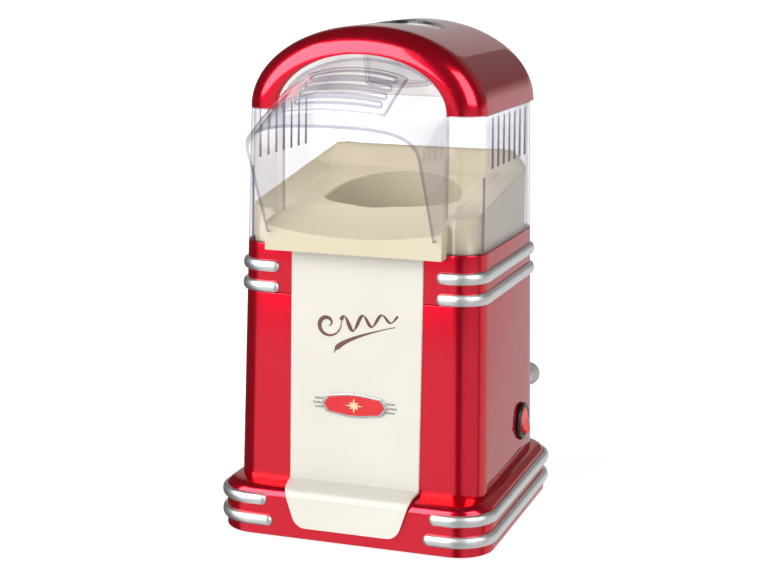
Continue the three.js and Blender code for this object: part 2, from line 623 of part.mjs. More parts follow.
function roofBarrel(inset, drop) {
  const half = halfWidthAt(EAVES) - inset;
  const reach = halfDepthAt(EAVES);
  const rows = barrelRows(reach - inset, -reach + inset * 0.8, ROOF_HEEL, ROOF_NOSE - inset * 0.2);
  return solid(barrel(half, ROOF_RISE - inset, drop, rows));
}

function addRoof() {
  const outer = roofBarrel(0, 0);
  const cavity = roofBarrel(WALL, 1);
  const reach = halfDepthAt(EAVES);
  const mouthShape = archShape(ROOF_MOUTH_WIDTH / 2, ROOF_MOUTH_RISE - GAP, 2);
  const mouth = solid(slab(mouthShape, -reach - 1, -reach + ROOF_NOSE, 1, 16).translate(0, 0, EAVES + GAP));
  const cupDrum = (radius, depth) =>
    solid(drum(radius, TOTAL_HEIGHT - depth, TOTAL_HEIGHT + 2, 24).translate(0, CUP_SHIFT, 0));
  const collar = cupDrum(CUP_FLANGE + 3, CUP_SEAT + 3.5);
  const seat = cupDrum(CUP_FLANGE + GAP, CUP_SEAT);
  const hole = cupDrum(CUP_RADIUS + 2 * GAP, CUP_SEAT + 14);
  const shell = join(cut(outer, cavity, mouth), collar.intersect(outer));
  addPiece("roof", cut(shell, seat, hole), RED);
}

function addCup() {
  const top = TOTAL_HEIGHT;
  const floor = top - CUP_DEPTH;
  const wall = CLEAR_WALL;
  const seat = top - CUP_SEAT + GAP;
  const foot = CUP_RADIUS - 3;
  const profile = [[0, floor], [foot, floor], [CUP_RADIUS, seat], [CUP_FLANGE, seat], [CUP_FLANGE, top],
    [CUP_RADIUS - wall, top], [CUP_RADIUS - wall, seat - 4], [foot - wall, floor + wall], [0, floor + wall]];
  const cup = solid(turned(profile, 24).translate(0, CUP_SHIFT, 0));
  const under = roofBarrel(0, 100);
  addPiece("measuring_cup", cup.intersect(under), CLEAR);
}

// ---- Inside ------------------------------------------------------------------------------------
// A flat ring: a rectangle turned about the axis.
function ringOf(inner, outer, z0, z1, sides) {
  return turned([[inner, z0], [outer, z0], [outer, z1], [inner, z1], [inner, z0]], sides);
}

function addChamber() {
  const r = CHAMBER_RADIUS;
  const w = CHAMBER_WALL;
  const top = WELL_BOTTOM - GAP;
  const z = CHAMBER_BOTTOM;
  const outside = [[0, z + 6], [r * 0.55, z], [r - 3, z], [r, z + 3], [r, top - 1], [r + 5, top - 1]];
  const inside = [[r - w, top], [r - w, z + 3.4], [r - 3.4, z + w], [r * 0.56, z + w], [0, z + 6 + w]];
  const profile = [...outside, [r + 5, top], ...inside];
  const slots = Array.from({ length: 12 }, (_, k) => {
    const slot = box(r - 4, r + 4, -0.9, 0.9, z + 8, z + 26);
    return solid(slot.rotateZ((k * Math.PI) / 6));
  });
  addPiece("popping_chamber", cut(solid(turned(profile, 24)), ...slots), ALUMINIUM);
}

function addDuct() {
  const r = DUCT_RADIUS;
  const w = 1.2;
  const top = WELL_BOTTOM - 2 - GAP;
  const z = DUCT_BOTTOM;
  const flange = r + DUCT_FLANGE;
  const profile = [[r - 14, z], [flange, z], [flange, z + w], [r, z + w + 1], [r, top], [r - w, top],
    [r - w, z + w + 1], [r - 14, z + w], [r - 14, z]];
  addPiece("heater_duct", turned(profile, 24), STEEL);
}

class Coil extends THREE.Curve {
  constructor(radius, turns, bottom, pitch) {
    super();
    Object.assign(this, { radius, turns, bottom, pitch });
  }

  getPoint(t, target = new THREE.Vector3()) {
    const angle = t * this.turns * 2 * Math.PI;
    const z = this.bottom + t * this.turns * this.pitch;
    return target.set(this.radius * Math.cos(angle), this.radius * Math.sin(angle), z);
  }
}

function addHeater() {
  const wire = new THREE.Shape().absarc(0, 0, 1.1, 0, 2 * Math.PI);
  const path = new Coil(27, 1.9, DUCT_BOTTOM + 4.5, 4.7 * STACK);
  const settings = { steps: 32, curveSegments: 3, extrudePath: path };
  addPiece("heating_coil", new THREE.ExtrudeGeometry(wire, settings), STEEL);
  const z = DUCT_BOTTOM + 1.2 + GAP;
  const reach = DUCT_RADIUS - 14;
  const sheet = () => box(-reach, reach, -0.5, 0.5, z + 1, CHAMBER_BOTTOM - 1.5);
  const board = (turn) => solid(sheet().rotateZ(turn));
  const high = CHAMBER_BOTTOM + 36;
  const notch = solid(turned([[25, z + 2], [29, z + 2], [29, high], [25, high], [25, z + 2]], 20));
  addPiece("mica_frame", cut(join(board(0.4), board(0.4 + Math.PI / 2)), notch), MICA);
  const disc = (r, h) => turned([[0, 0], [r, 0], [r, h], [0, h]], 16);
  const side = new THREE.Matrix4().makeRotationY(Math.PI / 2).setPosition(DUCT_RADIUS + GAP, 0, 118 * STACK);
  addPiece("thermostat", disc(7, 7).applyMatrix4(side), BLACK);
  const other = new THREE.Matrix4().makeRotationX(Math.PI / 2).setPosition(-15, -DUCT_RADIUS - 2.2, 128 * STACK);
  addPiece("thermal_fuse", disc(1.8, 11).rotateX(Math.PI / 2).applyMatrix4(other), BRASS);
}

function addFan() {
  const r = FAN_RADIUS + 6;
  const z = FAN_FLOOR - 4;
  const w = 1.8;
  const top = DUCT_BOTTOM - GAP;
  const profile = [[16, z], [r, z], [r, top - w], [r + 8, top - w], [r + 8, top], [r - w, top],
    [r - w, z + w], [16, z + w], [16, z]];
  addPiece("fan_housing", turned(profile, 24), HEAT_PLASTIC);
  const floor = FAN_FLOOR;
  const roof = floor + FAN_HEIGHT;
  const hub = ringOf(SHAFT_RADIUS + 0.1, 7, floor, roof, 20);
  const disc = ringOf(6, FAN_RADIUS, roof - 2, roof, 20);
  const blades = Array.from({ length: FAN_BLADES }, (_, k) => {
    const blade = box(17, FAN_RADIUS - 0.5, -0.7, 0.7, floor + 0.5, floor + FAN_HEIGHT - 1);
    return solid(blade.rotateZ((k * 2 * Math.PI) / FAN_BLADES));
  });
  addPiece("fan_impeller", join(solid(hub), solid(disc), ...blades), GREY_PLASTIC);
}

function addMotor() {
  const r = MOTOR_RADIUS;
  const z = MOTOR_BOTTOM;
  const end = MOTOR_TOP;
  const can = [[3.6, z], [r - 2, z], [r, z + 2], [r, end - 2.2], [r - 1.2, end - 2.2], [r - 1.2, z + 3],
    [3.6, z + 3], [3.6, z]];
  addPiece("motor_can", turned(can, 20), STEEL);
  addPiece("motor_end_cap", ringOf(3.6, r, end - 1.9, end, 20), BLACK);
  const shaftEnd = FAN_FLOOR + FAN_HEIGHT + 2;
  const armature = [[0, z - 1], [SHAFT_RADIUS, z - 1], [SHAFT_RADIUS, z + 6], [10, z + 6], [10, end - 6],
    [SHAFT_RADIUS, end - 6], [SHAFT_RADIUS, shaftEnd], [0, shaftEnd]];
  addPiece("motor_shaft", turned(armature, 16), STEEL);
  const bush = (bottom) => ringOf(SHAFT_RADIUS + 0.1, 3.3, bottom, bottom + 3, 16);
  addPiece("lower_bush", bush(MOTOR_BOTTOM), BRASS);
  addPiece("upper_bush", bush(MOTOR_TOP - 3), BRASS);
  const top = FAN_FLOOR - 4 - GAP;
  const arm = (turn) => solid(box(-FAN_RADIUS, FAN_RADIUS, -5, 5, top - 1.6, top).rotateZ(turn));
  const ring = solid(drum(MOTOR_RADIUS + 3, top - 1.6, top, 28));
  const bore = solid(drum(5, top - 5, top + 2, 20));
  addPiece("motor_bracket", cut(join(arm(0.6), arm(0.6 + Math.PI / 2), ring), bore), STEEL);
}

function addBoard() {
  addPiece("rectifier_board", box(-28, 28, 47, 48.6, 56 * STACK, 84 * STACK), BOARD);
  addPiece("terminal_block", box(-14, 14, 48.9, 56, 62 * STACK, 72 * STACK), GREY_PLASTIC);
}

addBaseSkirt();
addBaseTrims();
addApron();
addBasePlate();
addBodyShell();
addBodyCollar();
addFrontPanel();
addCollarTrims();
addBadge();
addCordFittings();
addSwitch();
addTray();
addHood();
addVisor();
addRoof();
addCup();
addChamber();
addDuct();
addHeater();
addFan();
addMotor();
addBoard();

// The origin is the middle of the maker's footprint box, on the surface that it stands on.
const extent = new THREE.Box3().setFromObject(popcornMaker);
popcornMaker.position.set(0, -(extent.min.y + extent.max.y) / 2, 0);

export default popcornMaker;
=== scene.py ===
"""A retro table-top hot-air popcorn maker, dressed for a studio picture.

Lengths are in millimetres about the middle of the body until place() turns them into metres in the
row frame. Every surface is an array of points on a grid, and each function says its formula in words.
"""

import bmesh
import bpy
import numpy as np
from mathutils import Matrix, Vector


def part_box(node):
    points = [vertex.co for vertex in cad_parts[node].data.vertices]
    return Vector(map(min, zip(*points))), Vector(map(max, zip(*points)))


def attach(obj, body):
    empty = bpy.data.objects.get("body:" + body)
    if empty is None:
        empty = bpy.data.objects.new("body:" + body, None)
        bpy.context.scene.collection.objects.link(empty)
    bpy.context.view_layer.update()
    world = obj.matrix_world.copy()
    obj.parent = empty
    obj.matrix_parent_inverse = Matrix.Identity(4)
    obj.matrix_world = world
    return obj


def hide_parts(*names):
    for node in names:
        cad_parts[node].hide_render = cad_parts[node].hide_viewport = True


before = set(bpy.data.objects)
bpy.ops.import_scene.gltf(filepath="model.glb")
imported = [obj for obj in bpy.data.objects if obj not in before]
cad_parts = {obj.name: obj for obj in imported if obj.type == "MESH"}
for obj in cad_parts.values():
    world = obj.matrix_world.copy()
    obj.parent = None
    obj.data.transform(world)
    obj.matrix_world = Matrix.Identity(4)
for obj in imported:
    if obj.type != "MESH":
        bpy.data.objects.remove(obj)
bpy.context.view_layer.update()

# ---- Sizes, in millimetres ---------------------------------------------------------------------
GAP = 0.3
TOTAL_HEIGHT = 300.0
BODY_WIDTH, BODY_DEPTH, BODY_CORNER = 152.0, 134.6, 17.0
BODY_FOOT, SEAM, BODY_TOP, EAVES = 33.0, 144.8, 174.0, 251.5
LEAN = 0.0222
WALL, CLEAR_WALL = 2.4, 1.8
BASE_WIDTH, BASE_DEPTH, BASE_CORNER = 166.0, 162.0, 22.0
BASE_SHIFT, BASE_LIP, SHOULDER = 1.2, 1.5, 30.5
PANEL_HALF, PANEL_THICK = 40.0, 1.1
TRIM_HEIGHT, TRIM_PROUD = 7.0, 2.6
COLLAR_TRIMS = {"trim_collar_upper": 160.7, "trim_collar_lower": 148.4}
BASE_TRIMS = {"trim_base_upper": 23.4, "trim_base_lower": 10.8}
COLLAR_TRIM_END, BASE_TRIM_END, BASE_TRIM_STEP = 49.5, 50.0, 3.5
WELL_RADIUS, WELL_WALL, WELL_RIM, WELL_BOTTOM = 41.0, 2.0, 196.0, 160.0
TRAY_BACK, TRAY_BACK_HALF = 220.0, 57.0
LIP_HALF, LIP_REACH, LIP_DROP = 53.0, 10.0, 2.0
VISOR_HALF, VISOR_CROWN, VISOR_BOTTOM = 50.5, 30.5, 186.0
VISOR_REACH, VISOR_SAG, VISOR_DIP, VISOR_RAKE = 52.0, 32.0, 3.0, 0.58
BROW_BACK, BROW_INSET = 8.0, 6.2
ROOF_NOSE, ROOF_HEEL = 15.5, 6.0
MOUTH_HALF, MOUTH_RISE = 51.0, 33.0
CUP_RADIUS, CUP_FLANGE, CUP_DEPTH, CUP_SHIFT = 23.0, 27.0, 38.0, 8.0
SLOTS, SLOT_PITCH, SLOT_BOTTOM = 7, 12.3, 220.5
# SLOT_LINE_HALF and SLOT_LINE_DEPTH size the shallow groove of painted shade round each slot.
SLOT_HALF, SLOT_LINE_HALF, SLOT_LINE_DEPTH = 0.35, 0.5, 0.75
# Two thin dark strips inside the hood's front corners are painted shade for the dark line that shows there:
# inner and outer x, front and back y, foot and top z.
SHADE_STRIP_INNER, SHADE_STRIP_OUTER, SHADE_STRIP_FRONT, SHADE_STRIP_BACK, SHADE_STRIP_FOOT, SHADE_STRIP_TOP = 69.7, 70.9, -50.5, -49.7, 175.0, 217.0
SWITCH_HEIGHT, SWITCH_BACK, SWITCH_RADIUS, SWITCH_HOLE = 55.3, 28.9, 12.0, 10.0
ROCKER_TILT = 12.0
POST_SPREAD, POST_HEIGHT, POST_REACH, POST_RADIUS, POST_FLANGE = 63.5, 69.0, 30.0, 4.6, 7.4
VENTS, VENT_PITCH, VENT_HALF, VENT_BOTTOM, VENT_TOP = 6, 9.0, 2.0, 104.0, 128.0
CORD_HEIGHT, CORD_HOLE = 47.0, 6.0
TRAY_LEVEL = 190.0  # the height at which the tray meets the body's inside
TRAY_FRONT, TRAY_HALF, TRAY_RISE = -60.0, 70.0, 11.0
RAMP_SLOPE, RAMP_CROWN, RAMP_HALF, RAMP_REACH = 0.441, 5.0, 50.0, 34.0
BLOCK_HALF, BLOCK_EDGE, BLOCK_DROP = 51.0, 4.0, 1.5
SEAT_DEPTH = 6.5  # the cup's flange sits this far below the roof's crown

base_middle = (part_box("base_skirt")[0].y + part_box("base_skirt")[1].y) / 2
BODY_MIDDLE = base_middle * 1000 - BASE_SHIFT


def half_width_at(z):
    """The body's half width at a height: a straight line, in by LEAN for each millimetre up."""
    return BODY_WIDTH / 2 - LEAN * (z - BODY_FOOT)


def half_depth_at(z):
    """The body's half depth at a height, by the same line."""
    return BODY_DEPTH / 2 - LEAN * (z - BODY_FOOT)


FRONT = -half_depth_at(BODY_TOP)
ROOF_RISE = TOTAL_HEIGHT - EAVES - GAP
ROOF_HALF = half_width_at(EAVES)
ROOF_REACH = half_depth_at(EAVES)
BROW = BROW_BACK - ROOF_REACH


# ---- Mesh tools --------------------------------------------------------------------------------
def place(points):
    """Millimetres about the body's middle to metres in the row frame."""
    return (np.asarray(points, float) + [0, BODY_MIDDLE, 0]) / 1000


def lean(points):
    """Draws points towards the upright axis by LEAN for each millimetre above the body's foot."""
    points = np.array(points, float)
    inset = 2 * LEAN * (points[..., 2] - BODY_FOOT)
    points[..., 0] *= 1 - inset / BODY_WIDTH
    points[..., 1] *= 1 - inset / BODY_DEPTH
    return points


def grid_faces(rows, columns, wrap_rows, wrap_columns):
    """The four-sided faces of a grid of points, as one array of corner numbers."""
    r = np.arange(rows if wrap_rows else rows - 1)
    c = np.arange(columns if wrap_columns else columns - 1)
    r, c = np.meshgrid(r, c, indexing="ij")
    r2, c2 = (r + 1) % rows, (c + 1) % columns
    corners = [r * columns + c, r2 * columns + c, r2 * columns + c2, r * columns + c2]
    return np.stack(corners, -1).reshape(-1, 4)


def capped_ends(rows, columns, wrap_rows):
    """The faces of a grid, with a cap over its first column and one over its last."""
    faces = [list(f) for f in grid_faces(rows, columns, wrap_rows, False)]
    first = [k * columns for k in range(rows)]
    return faces + [first, [k + columns - 1 for k in first]]


def capped_rings(rows, columns):
    """The faces of closed rings in a stack, with a cap over the first ring and one over the last."""
    last = (rows - 1) * columns
    faces = [list(f) for f in grid_faces(rows, columns, False, True)]
    return faces + [list(range(columns)), list(range(last, last + columns))]


def build(name, points, faces, finishes, which=None, sharp=35, weld=1e-6):
    """A mesh object from points in millimetres: welded, faces outwards, smooth up to a sharp angle."""
    mesh = bpy.data.meshes.new(name)
    mesh.from_pydata(place(points).reshape(-1, 3).tolist(), [], [list(map(int, f)) for f in faces])
    if which is not None:
        mesh.polygons.foreach_set("material_index", np.asarray(which, np.int32))
    for material in finishes:
        mesh.materials.append(material)
    made = bmesh.new()
    made.from_mesh(mesh)
    bmesh.ops.remove_doubles(made, verts=made.verts, dist=weld)
    bmesh.ops.dissolve_degenerate(made, edges=made.edges, dist=weld)
    bmesh.ops.recalc_face_normals(made, faces=made.faces)
    made.to_mesh(mesh)
    made.free()
    piece = bpy.data.objects.new(name, mesh)
    bpy.context.scene.collection.objects.link(piece)
    soften(piece, sharp)
    return piece


def soften(piece, sharp=35):
    """Smooth shading, with creases where faces meet at more than the sharp angle."""
    piece.data.polygons.foreach_set("use_smooth", np.ones(len(piece.data.polygons), bool))
    piece.data.set_sharp_from_angle(angle=np.radians(sharp))


def outline(width, depth, radius, per_corner=14):
    """Points and outward normals of a rounded rectangle, anticlockwise: four quarter circles joined."""
    turn = np.linspace(0, np.pi / 2, per_corner)
    angle = np.concatenate([turn + k * np.pi / 2 for k in range(4)])
    sx = np.repeat([1, -1, -1, 1], per_corner)
    sy = np.repeat([1, 1, -1, -1], per_corner)
    normal = np.stack([np.cos(angle), np.sin(angle)], -1)
    middle = np.stack([sx * (width / 2 - radius), sy * (depth / 2 - radius)], -1)
    return middle + radius * normal, normal


def filleted(corners, radii, steps=5):
    """A closed polygon whose corners are rounded: each corner becomes an arc tangent to both sides."""
    corners = np.asarray(corners, float)
    before = np.roll(corners, 1, 0) - corners
    after = np.roll(corners, -1, 0) - corners
    made = []
    for corner, b, a, radius in zip(corners, before, after, radii):
        lb, la = np.linalg.norm(b), np.linalg.norm(a)
        b, a = b / lb, a / la
        half = np.arccos(np.clip(a @ b, -1, 1)) / 2
        if radius <= 0 or abs(half - np.pi / 2) < 1e-3:
            made.append(corner[None])
            continue
        cut = min(radius / np.tan(half), 0.49 * lb, 0.49 * la)
        radius = cut * np.tan(half)
        middle = corner + (a + b) / np.linalg.norm(a + b) * radius / np.sin(half)
        start, end = corner + b * cut - middle, corner + a * cut - middle
        angle = np.arctan2(start[0] * end[1] - start[1] * end[0], start @ end)
        t = np.linspace(0, angle, steps)[:, None]
        side = np.array([-start[1], start[0]])
        made.append(middle + start * np.cos(t) + side * np.sin(t))
    return np.concatenate(made)


def carried(outline_points, normals, section):
    """A closed section of (distance outwards, height) carried round an outline: grid of points."""
    section = np.asarray(section, float)
    flat = outline_points[None] + normals[None] * section[:, :1, None]
    height = np.broadcast_to(section[:, 1, None, None], flat.shape[:2] + (1,))
    return np.concatenate([flat, height], -1)


def wall(name, size, section, finishes, shift=0.0, leaning=False, which=None, sharp=35):
    """A closed wall: a section carried right round a rounded rectangle."""
    points, normals = outline(*size)
    grid = carried(points, normals, section)
    if leaning:
        grid = lean(grid)
    grid[..., 1] += shift
    faces = grid_faces(*grid.shape[:2], True, True)
    marks = None if which is None else np.repeat(which, grid.shape[1])
    return build(name, grid, faces, finishes, marks, sharp)


def rod(radius, low, high):
    """The profile of a plain round rod: out from the axis, up and back in."""
    return [(0, low), (radius, low), (radius, high), (0, high)]


def turned(name, profile, sides, finish, rule=None, sharp=35, closed=True):
    """A solid of revolution: a profile of (radius, height) turned about Z, then moved by a rule."""
    profile = np.asarray(profile, float)
    angle = np.arange(sides) * 2 * np.pi / sides
    radius = profile[:, :1]
    grid = np.stack([radius * np.cos(angle), radius * np.sin(angle),
                     np.broadcast_to(profile[:, 1:], (len(profile), sides))], -1)
    if rule:
        grid = rule(grid)
    faces = grid_faces(len(profile), sides, closed, True)
    return build(name, grid, faces, [finish], sharp=sharp, weld=1e-5)


def cut_away(piece, cutter):
    """Takes one solid out of another and removes the tool."""
    bpy.context.view_layer.objects.active = piece
    tool = piece.modifiers.new("opening", "BOOLEAN")
    tool.operation, tool.solver, tool.object = "DIFFERENCE", "EXACT", cutter
    tool.material_mode = "TRANSFER"
    bpy.ops.object.modifier_apply(modifier=tool.name)
    bpy.data.objects.remove(cutter)


def applied(piece, kind, **values):
    """Adds a modifier with these values and applies it."""
    bpy.context.view_layer.objects.active = piece
    tool = piece.modifiers.new(kind.lower(), kind)
    for key, value in values.items():
        setattr(tool, key, value)
    bpy.ops.object.modifier_apply(modifier=tool.name)
    return piece


def boxes(name, lows, highs, finish):
    """Several separate boxes in one mesh, from their lowest and highest corners."""
    lows, highs = np.atleast_2d(lows).astype(float), np.atleast_2d(highs).astype(float)
    flat = np.array([[0, 0], [1, 0], [1, 1], [0, 1]])
    corner = np.concatenate([np.insert(flat, 2, level, axis=1) for level in (0, 1)])
    side = np.array([[0, 3, 2, 1], [4, 5, 6, 7], [0, 1, 5, 4], [1, 2, 6, 5], [2, 3, 7, 6], [3, 0, 4, 7]])
    points = lows[:, None] + corner[None] * (highs - lows)[:, None]
    faces = (side[None] + 8 * np.arange(len(lows))[:, None, None]).reshape(-1, 4)
    return build(name, points, faces, [finish])


def stands_for(piece, body, slot, *nodes):
    """The piece rides on a body and is shown in place of CAD nodes; the slot argument is not used."""
    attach(piece, body)
    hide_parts(*nodes)
    return piece


def smooth(t):
    """0 below 0, 1 above 1 and 3t^2 - 2t^3 between."""
    t = np.clip(t, 0, 1)
    return t * t * (3 - 2 * t)


# ---- Finishes ----------------------------------------------------------------------------------
def material(name):
    """A new node material and its Principled shader."""
    made = bpy.data.materials.new(name)
    made.use_nodes = True
    return made, made.node_tree.nodes["Principled BSDF"]


def node(made, kind, **values):
    """A node with its properties and unlinked sockets set."""
    n = made.node_tree.nodes.new("ShaderNode" + kind)
    for key, value in values.items():
        if hasattr(n, key):
            setattr(n, key, value)
        else:
            n.inputs[key.replace("_", " ")].default_value = value
    return n


def link(made, start, end):
    made.node_tree.links.new(start, end)


def object_noise(made, scale, detail=3.0, roughness=0.5, stretch=(1, 1, 1)):
    """Noise on Object coordinates, at so many lumps to the metre."""
    place_node = node(made, "TexCoord")
    mapping = node(made, "Mapping")
    mapping.inputs["Scale"].default_value = stretch
    noise = node(made, "TexNoise", Scale=scale, Detail=detail, Roughness=roughness)
    link(made, place_node.outputs["Object"], mapping.inputs["Vector"])
    link(made, mapping.outputs["Vector"], noise.inputs["Vector"])
    return noise


def blend_colours(made, factor, first, second, low=0.35, high=0.65):
    """A ramp from one colour to another, driven by a factor."""
    ramp = node(made, "ValToRGB")
    ramp.color_ramp.elements[0].position, ramp.color_ramp.elements[0].color = low, (*first, 1)
    ramp.color_ramp.elements[1].position, ramp.color_ramp.elements[1].color = high, (*second, 1)
    link(made, factor, ramp.inputs["Fac"])
    return ramp.outputs["Color"]


def spread(made, factor, low, high):
    """A factor of 0 to 1 mapped to a range."""
    ranged = node(made, "MapRange")
    ranged.inputs["To Min"].default_value, ranged.inputs["To Max"].default_value = low, high
    link(made, factor, ranged.inputs["Value"])
    return ranged.outputs["Result"]


def bumped(made, shader, height, strength, distance):
    """A bump on a shader's normal; distance is in metres."""
    bump = node(made, "Bump", Strength=strength, Distance=distance)
    link(made, height, bump.inputs["Height"])
    link(made, bump.outputs["Normal"], shader.inputs["Normal"])


def metallic_enamel():
    """Red enamel: fine bright flakes under a thick clear coat with the faintest orange peel."""
    made, shader = material("red_enamel")
    flakes = node(made, "TexVoronoi", Scale=2600.0)
    place_node = node(made, "TexCoord")
    link(made, place_node.outputs["Object"], flakes.inputs["Vector"])
    split = node(made, "SeparateColor")
    link(made, flakes.outputs["Color"], split.inputs["Color"])
    colour = blend_colours(made, split.outputs["Red"], (0.71, 0.005, 0.025), (0.78, 0.007, 0.033), 0.2, 0.9)
    link(made, colour, shader.inputs["Base Color"])
    link(made, spread(made, split.outputs["Green"], 0.22, 0.26), shader.inputs["Roughness"])
    peel = object_noise(made, 420.0, 2.0)
    bumped(made, shader, peel.outputs["Fac"], 0.02, 0.0002)
    shader.inputs["Metallic"].default_value = 0.86
    shader.inputs["Specular IOR Level"].default_value = 0.0
    shader.inputs["Specular Tint"].default_value = (0.3, 0.01, 0.02, 1)
    shader.inputs["Coat Weight"].default_value = 1.0
    shader.inputs["Coat Roughness"].default_value = 0.03
    shader.inputs["Coat IOR"].default_value = 1.45
    return made


def moulded(name, colour, other, roughness, grain, depth, coat=0.0):
    """Moulded plastic: a cloudy change between two near colours, uneven gloss and a fine grain."""
    made, shader = material(name)
    cloud = object_noise(made, 14.0, 3.0)
    link(made, blend_colours(made, cloud.outputs["Fac"], colour, other), shader.inputs["Base Color"])
    fine = object_noise(made, grain, 4.0, 0.6)
    uneven = spread(made, fine.outputs["Fac"], roughness - 0.05, roughness + 0.05)
    link(made, uneven, shader.inputs["Roughness"])
    bumped(made, shader, fine.outputs["Fac"], 0.08, depth)
    shader.inputs["Coat Weight"].default_value = coat
    shader.inputs["Coat Roughness"].default_value = 0.08
    return made


def plated(name, colour, roughness, grain=60.0, stretch=(1, 1, 12)):
    """Plated or bare metal: long faint streaks in its gloss."""
    made, shader = material(name)
    streak = object_noise(made, grain, 4.0, 0.6, stretch)
    uneven = spread(made, streak.outputs["Fac"], roughness - 0.05, roughness + 0.08)
    link(made, uneven, shader.inputs["Roughness"])
    darker = tuple(0.9 * c for c in colour)
    link(made, blend_colours(made, streak.outputs["Fac"], darker, colour), shader.inputs["Base Color"])
    shader.inputs["Metallic"].default_value = 1.0
    return made


def clear_sheet(name, tint, edge, reach, gloss=0.05):
    """Clear plastic, tinted at its edges: it mirrors 4% of the light face-on and 60% edge-on."""
    made, shader = material(name)
    facing = node(made, "LayerWeight", Blend=0.5)
    power = node(made, "Math", operation="POWER")
    power.inputs[1].default_value = reach
    link(made, facing.outputs["Facing"], power.inputs[0])
    through = node(made, "BsdfTransparent")
    link(made, blend_colours(made, power.outputs[0], tint, edge, 0.0, 1.0), through.inputs["Color"])
    fifth = node(made, "Math", operation="POWER")
    fifth.inputs[1].default_value = 5.0
    link(made, facing.outputs["Facing"], fifth.inputs[0])
    shader.inputs["Metallic"].default_value = 1.0
    shader.inputs["Base Color"].default_value = (0.97, 0.97, 1.0, 1)
    wave = object_noise(made, 16.0, 2.0)
    link(made, spread(made, wave.outputs["Fac"], gloss - 0.02, gloss + 0.02), shader.inputs["Roughness"])
    bumped(made, shader, wave.outputs["Fac"], 0.25, 0.0006)
    mix = node(made, "MixShader")
    link(made, spread(made, fifth.outputs[0], 0.04, 0.6), mix.inputs["Fac"])
    link(made, through.outputs[0], mix.inputs[1])
    link(made, shader.outputs[0], mix.inputs[2])
    link(made, mix.outputs[0], made.node_tree.nodes["Material Output"].inputs["Surface"])
    return made


RED = metallic_enamel()
CREAM = moulded("cream_front", (0.60, 0.58, 0.515), (0.63, 0.61, 0.545), 0.3, 900.0, 0.00003, 0.3)
TRAY = moulded("cream_tray", (0.56, 0.495, 0.36), (0.58, 0.515, 0.38), 0.42, 1100.0, 0.00006)
PALE = moulded("pale_lining", (0.78, 0.77, 0.76), (0.82, 0.81, 0.80), 0.5, 900.0, 0.00004)
SILVER = plated("silver_trim", (0.84, 0.86, 0.85), 0.4, 40.0, (3, 3, 30))
CLEAR = clear_sheet("clear_plastic", (0.985, 0.985, 0.99), (0.45, 0.42, 0.5), 5.0)
# Violet-grey tint of the clear plastic's cut edges. The same tint also draws painted lines: a painted
# reflection line on the visor's louvre-field border and painted shade on the strips inside the hood's front
# corners.
CLEAR_EDGE_AND_PAINTED_LINES = clear_sheet("clear_plastic_edge_and_painted_lines", (0.66, 0.62, 0.71), (0.36, 0.31, 0.40), 2.0)
# Near-black tint lining the groove round each hood slot: painted shade that draws each slot as a dark line.
SLOT_PAINTED_SHADE = clear_sheet("clear_plastic_slot_painted_shade", (0.3, 0.25, 0.33), (0.2, 0.16, 0.22), 2.0)
BLACK = moulded("black_plastic", (0.012, 0.012, 0.012), (0.02, 0.02, 0.02), 0.35, 1200.0, 0.00005)
GREY = moulded("grey_plastic", (0.42, 0.43, 0.42), (0.48, 0.49, 0.48), 0.42, 1200.0, 0.00005)
RUBBER = moulded("black_rubber", (0.02, 0.02, 0.02), (0.03, 0.03, 0.03), 0.8, 1600.0, 0.0001)
ROCKER = moulded("rocker_red", (0.85, 0.025, 0.03), (0.9, 0.04, 0.04), 0.3, 900.0, 0.00002)
STEEL = plated("plain_steel", (0.55, 0.56, 0.58), 0.38)
ALUMINIUM = plated("spun_aluminium", (0.80, 0.81, 0.82), 0.3, 30.0, (1, 1, 25))
BRASS = plated("brass", (0.72, 0.52, 0.2), 0.3)
CHROME = plated("badge_chrome", (0.62, 0.64, 0.66), 0.16)
BAR_STEEL = plated("badge_bars", (0.30, 0.31, 0.33), 0.3)
BROWN = moulded("brown_print", (0.11, 0.045, 0.025), (0.14, 0.06, 0.035), 0.5, 1200.0, 0.00002)
MICA = moulded("mica_board", (0.5, 0.42, 0.25), (0.6, 0.52, 0.34), 0.55, 500.0, 0.0001)
HEAT_BLACK = moulded("heat_plastic", (0.05, 0.045, 0.04), (0.07, 0.065, 0.06), 0.55, 900.0, 0.00006)
BOARD = moulded("circuit_board", (0.02, 0.11, 0.04), (0.03, 0.15, 0.06), 0.4, 700.0, 0.00004)
BADGE_RED = moulded("badge_red", (0.55, 0.01, 0.015), (0.62, 0.02, 0.02), 0.3, 800.0, 0.00002, 0.2)
# Peach colour of the badge's star: a painted highlight, the warm sheen in the middle of the badge.
BADGE_PAINTED_HIGHLIGHT = moulded("badge_star_painted_highlight", (0.85, 0.5, 0.3), (0.9, 0.6, 0.38), 0.3, 800.0, 0.00002, 0.6)


# ---- Base --------------------------------------------------------------------------------------
BASE_SIZE = (BASE_WIDTH, BASE_DEPTH, BASE_CORNER)
SKIRT_OUTER = [(0, BASE_LIP), (0, SHOULDER), (-12, BODY_FOOT - 1)]
SKIRT_UNDER = 15.6  # how far in the slope runs on, level, under the body


def make_base_skirt():
    """The base's wall: upright, a rounded shoulder, a slope up to the body's foot and level under it."""
    section = filleted(
        [*SKIRT_OUTER, (-SKIRT_UNDER, BODY_FOOT - 1), (-SKIRT_UNDER, BODY_FOOT - 3),
         (-WALL - 0.5, SHOULDER - 2.6), (-WALL, BASE_LIP)],
        [0.8, 7.0, 0.3, 0.3, 0.3, 5.0, 0.4], 8)
    skirt = wall("base_skirt_shell", BASE_SIZE, section, [RED], BASE_SHIFT)
    stands_for(skirt, "housing", "red_paint", "base_skirt")


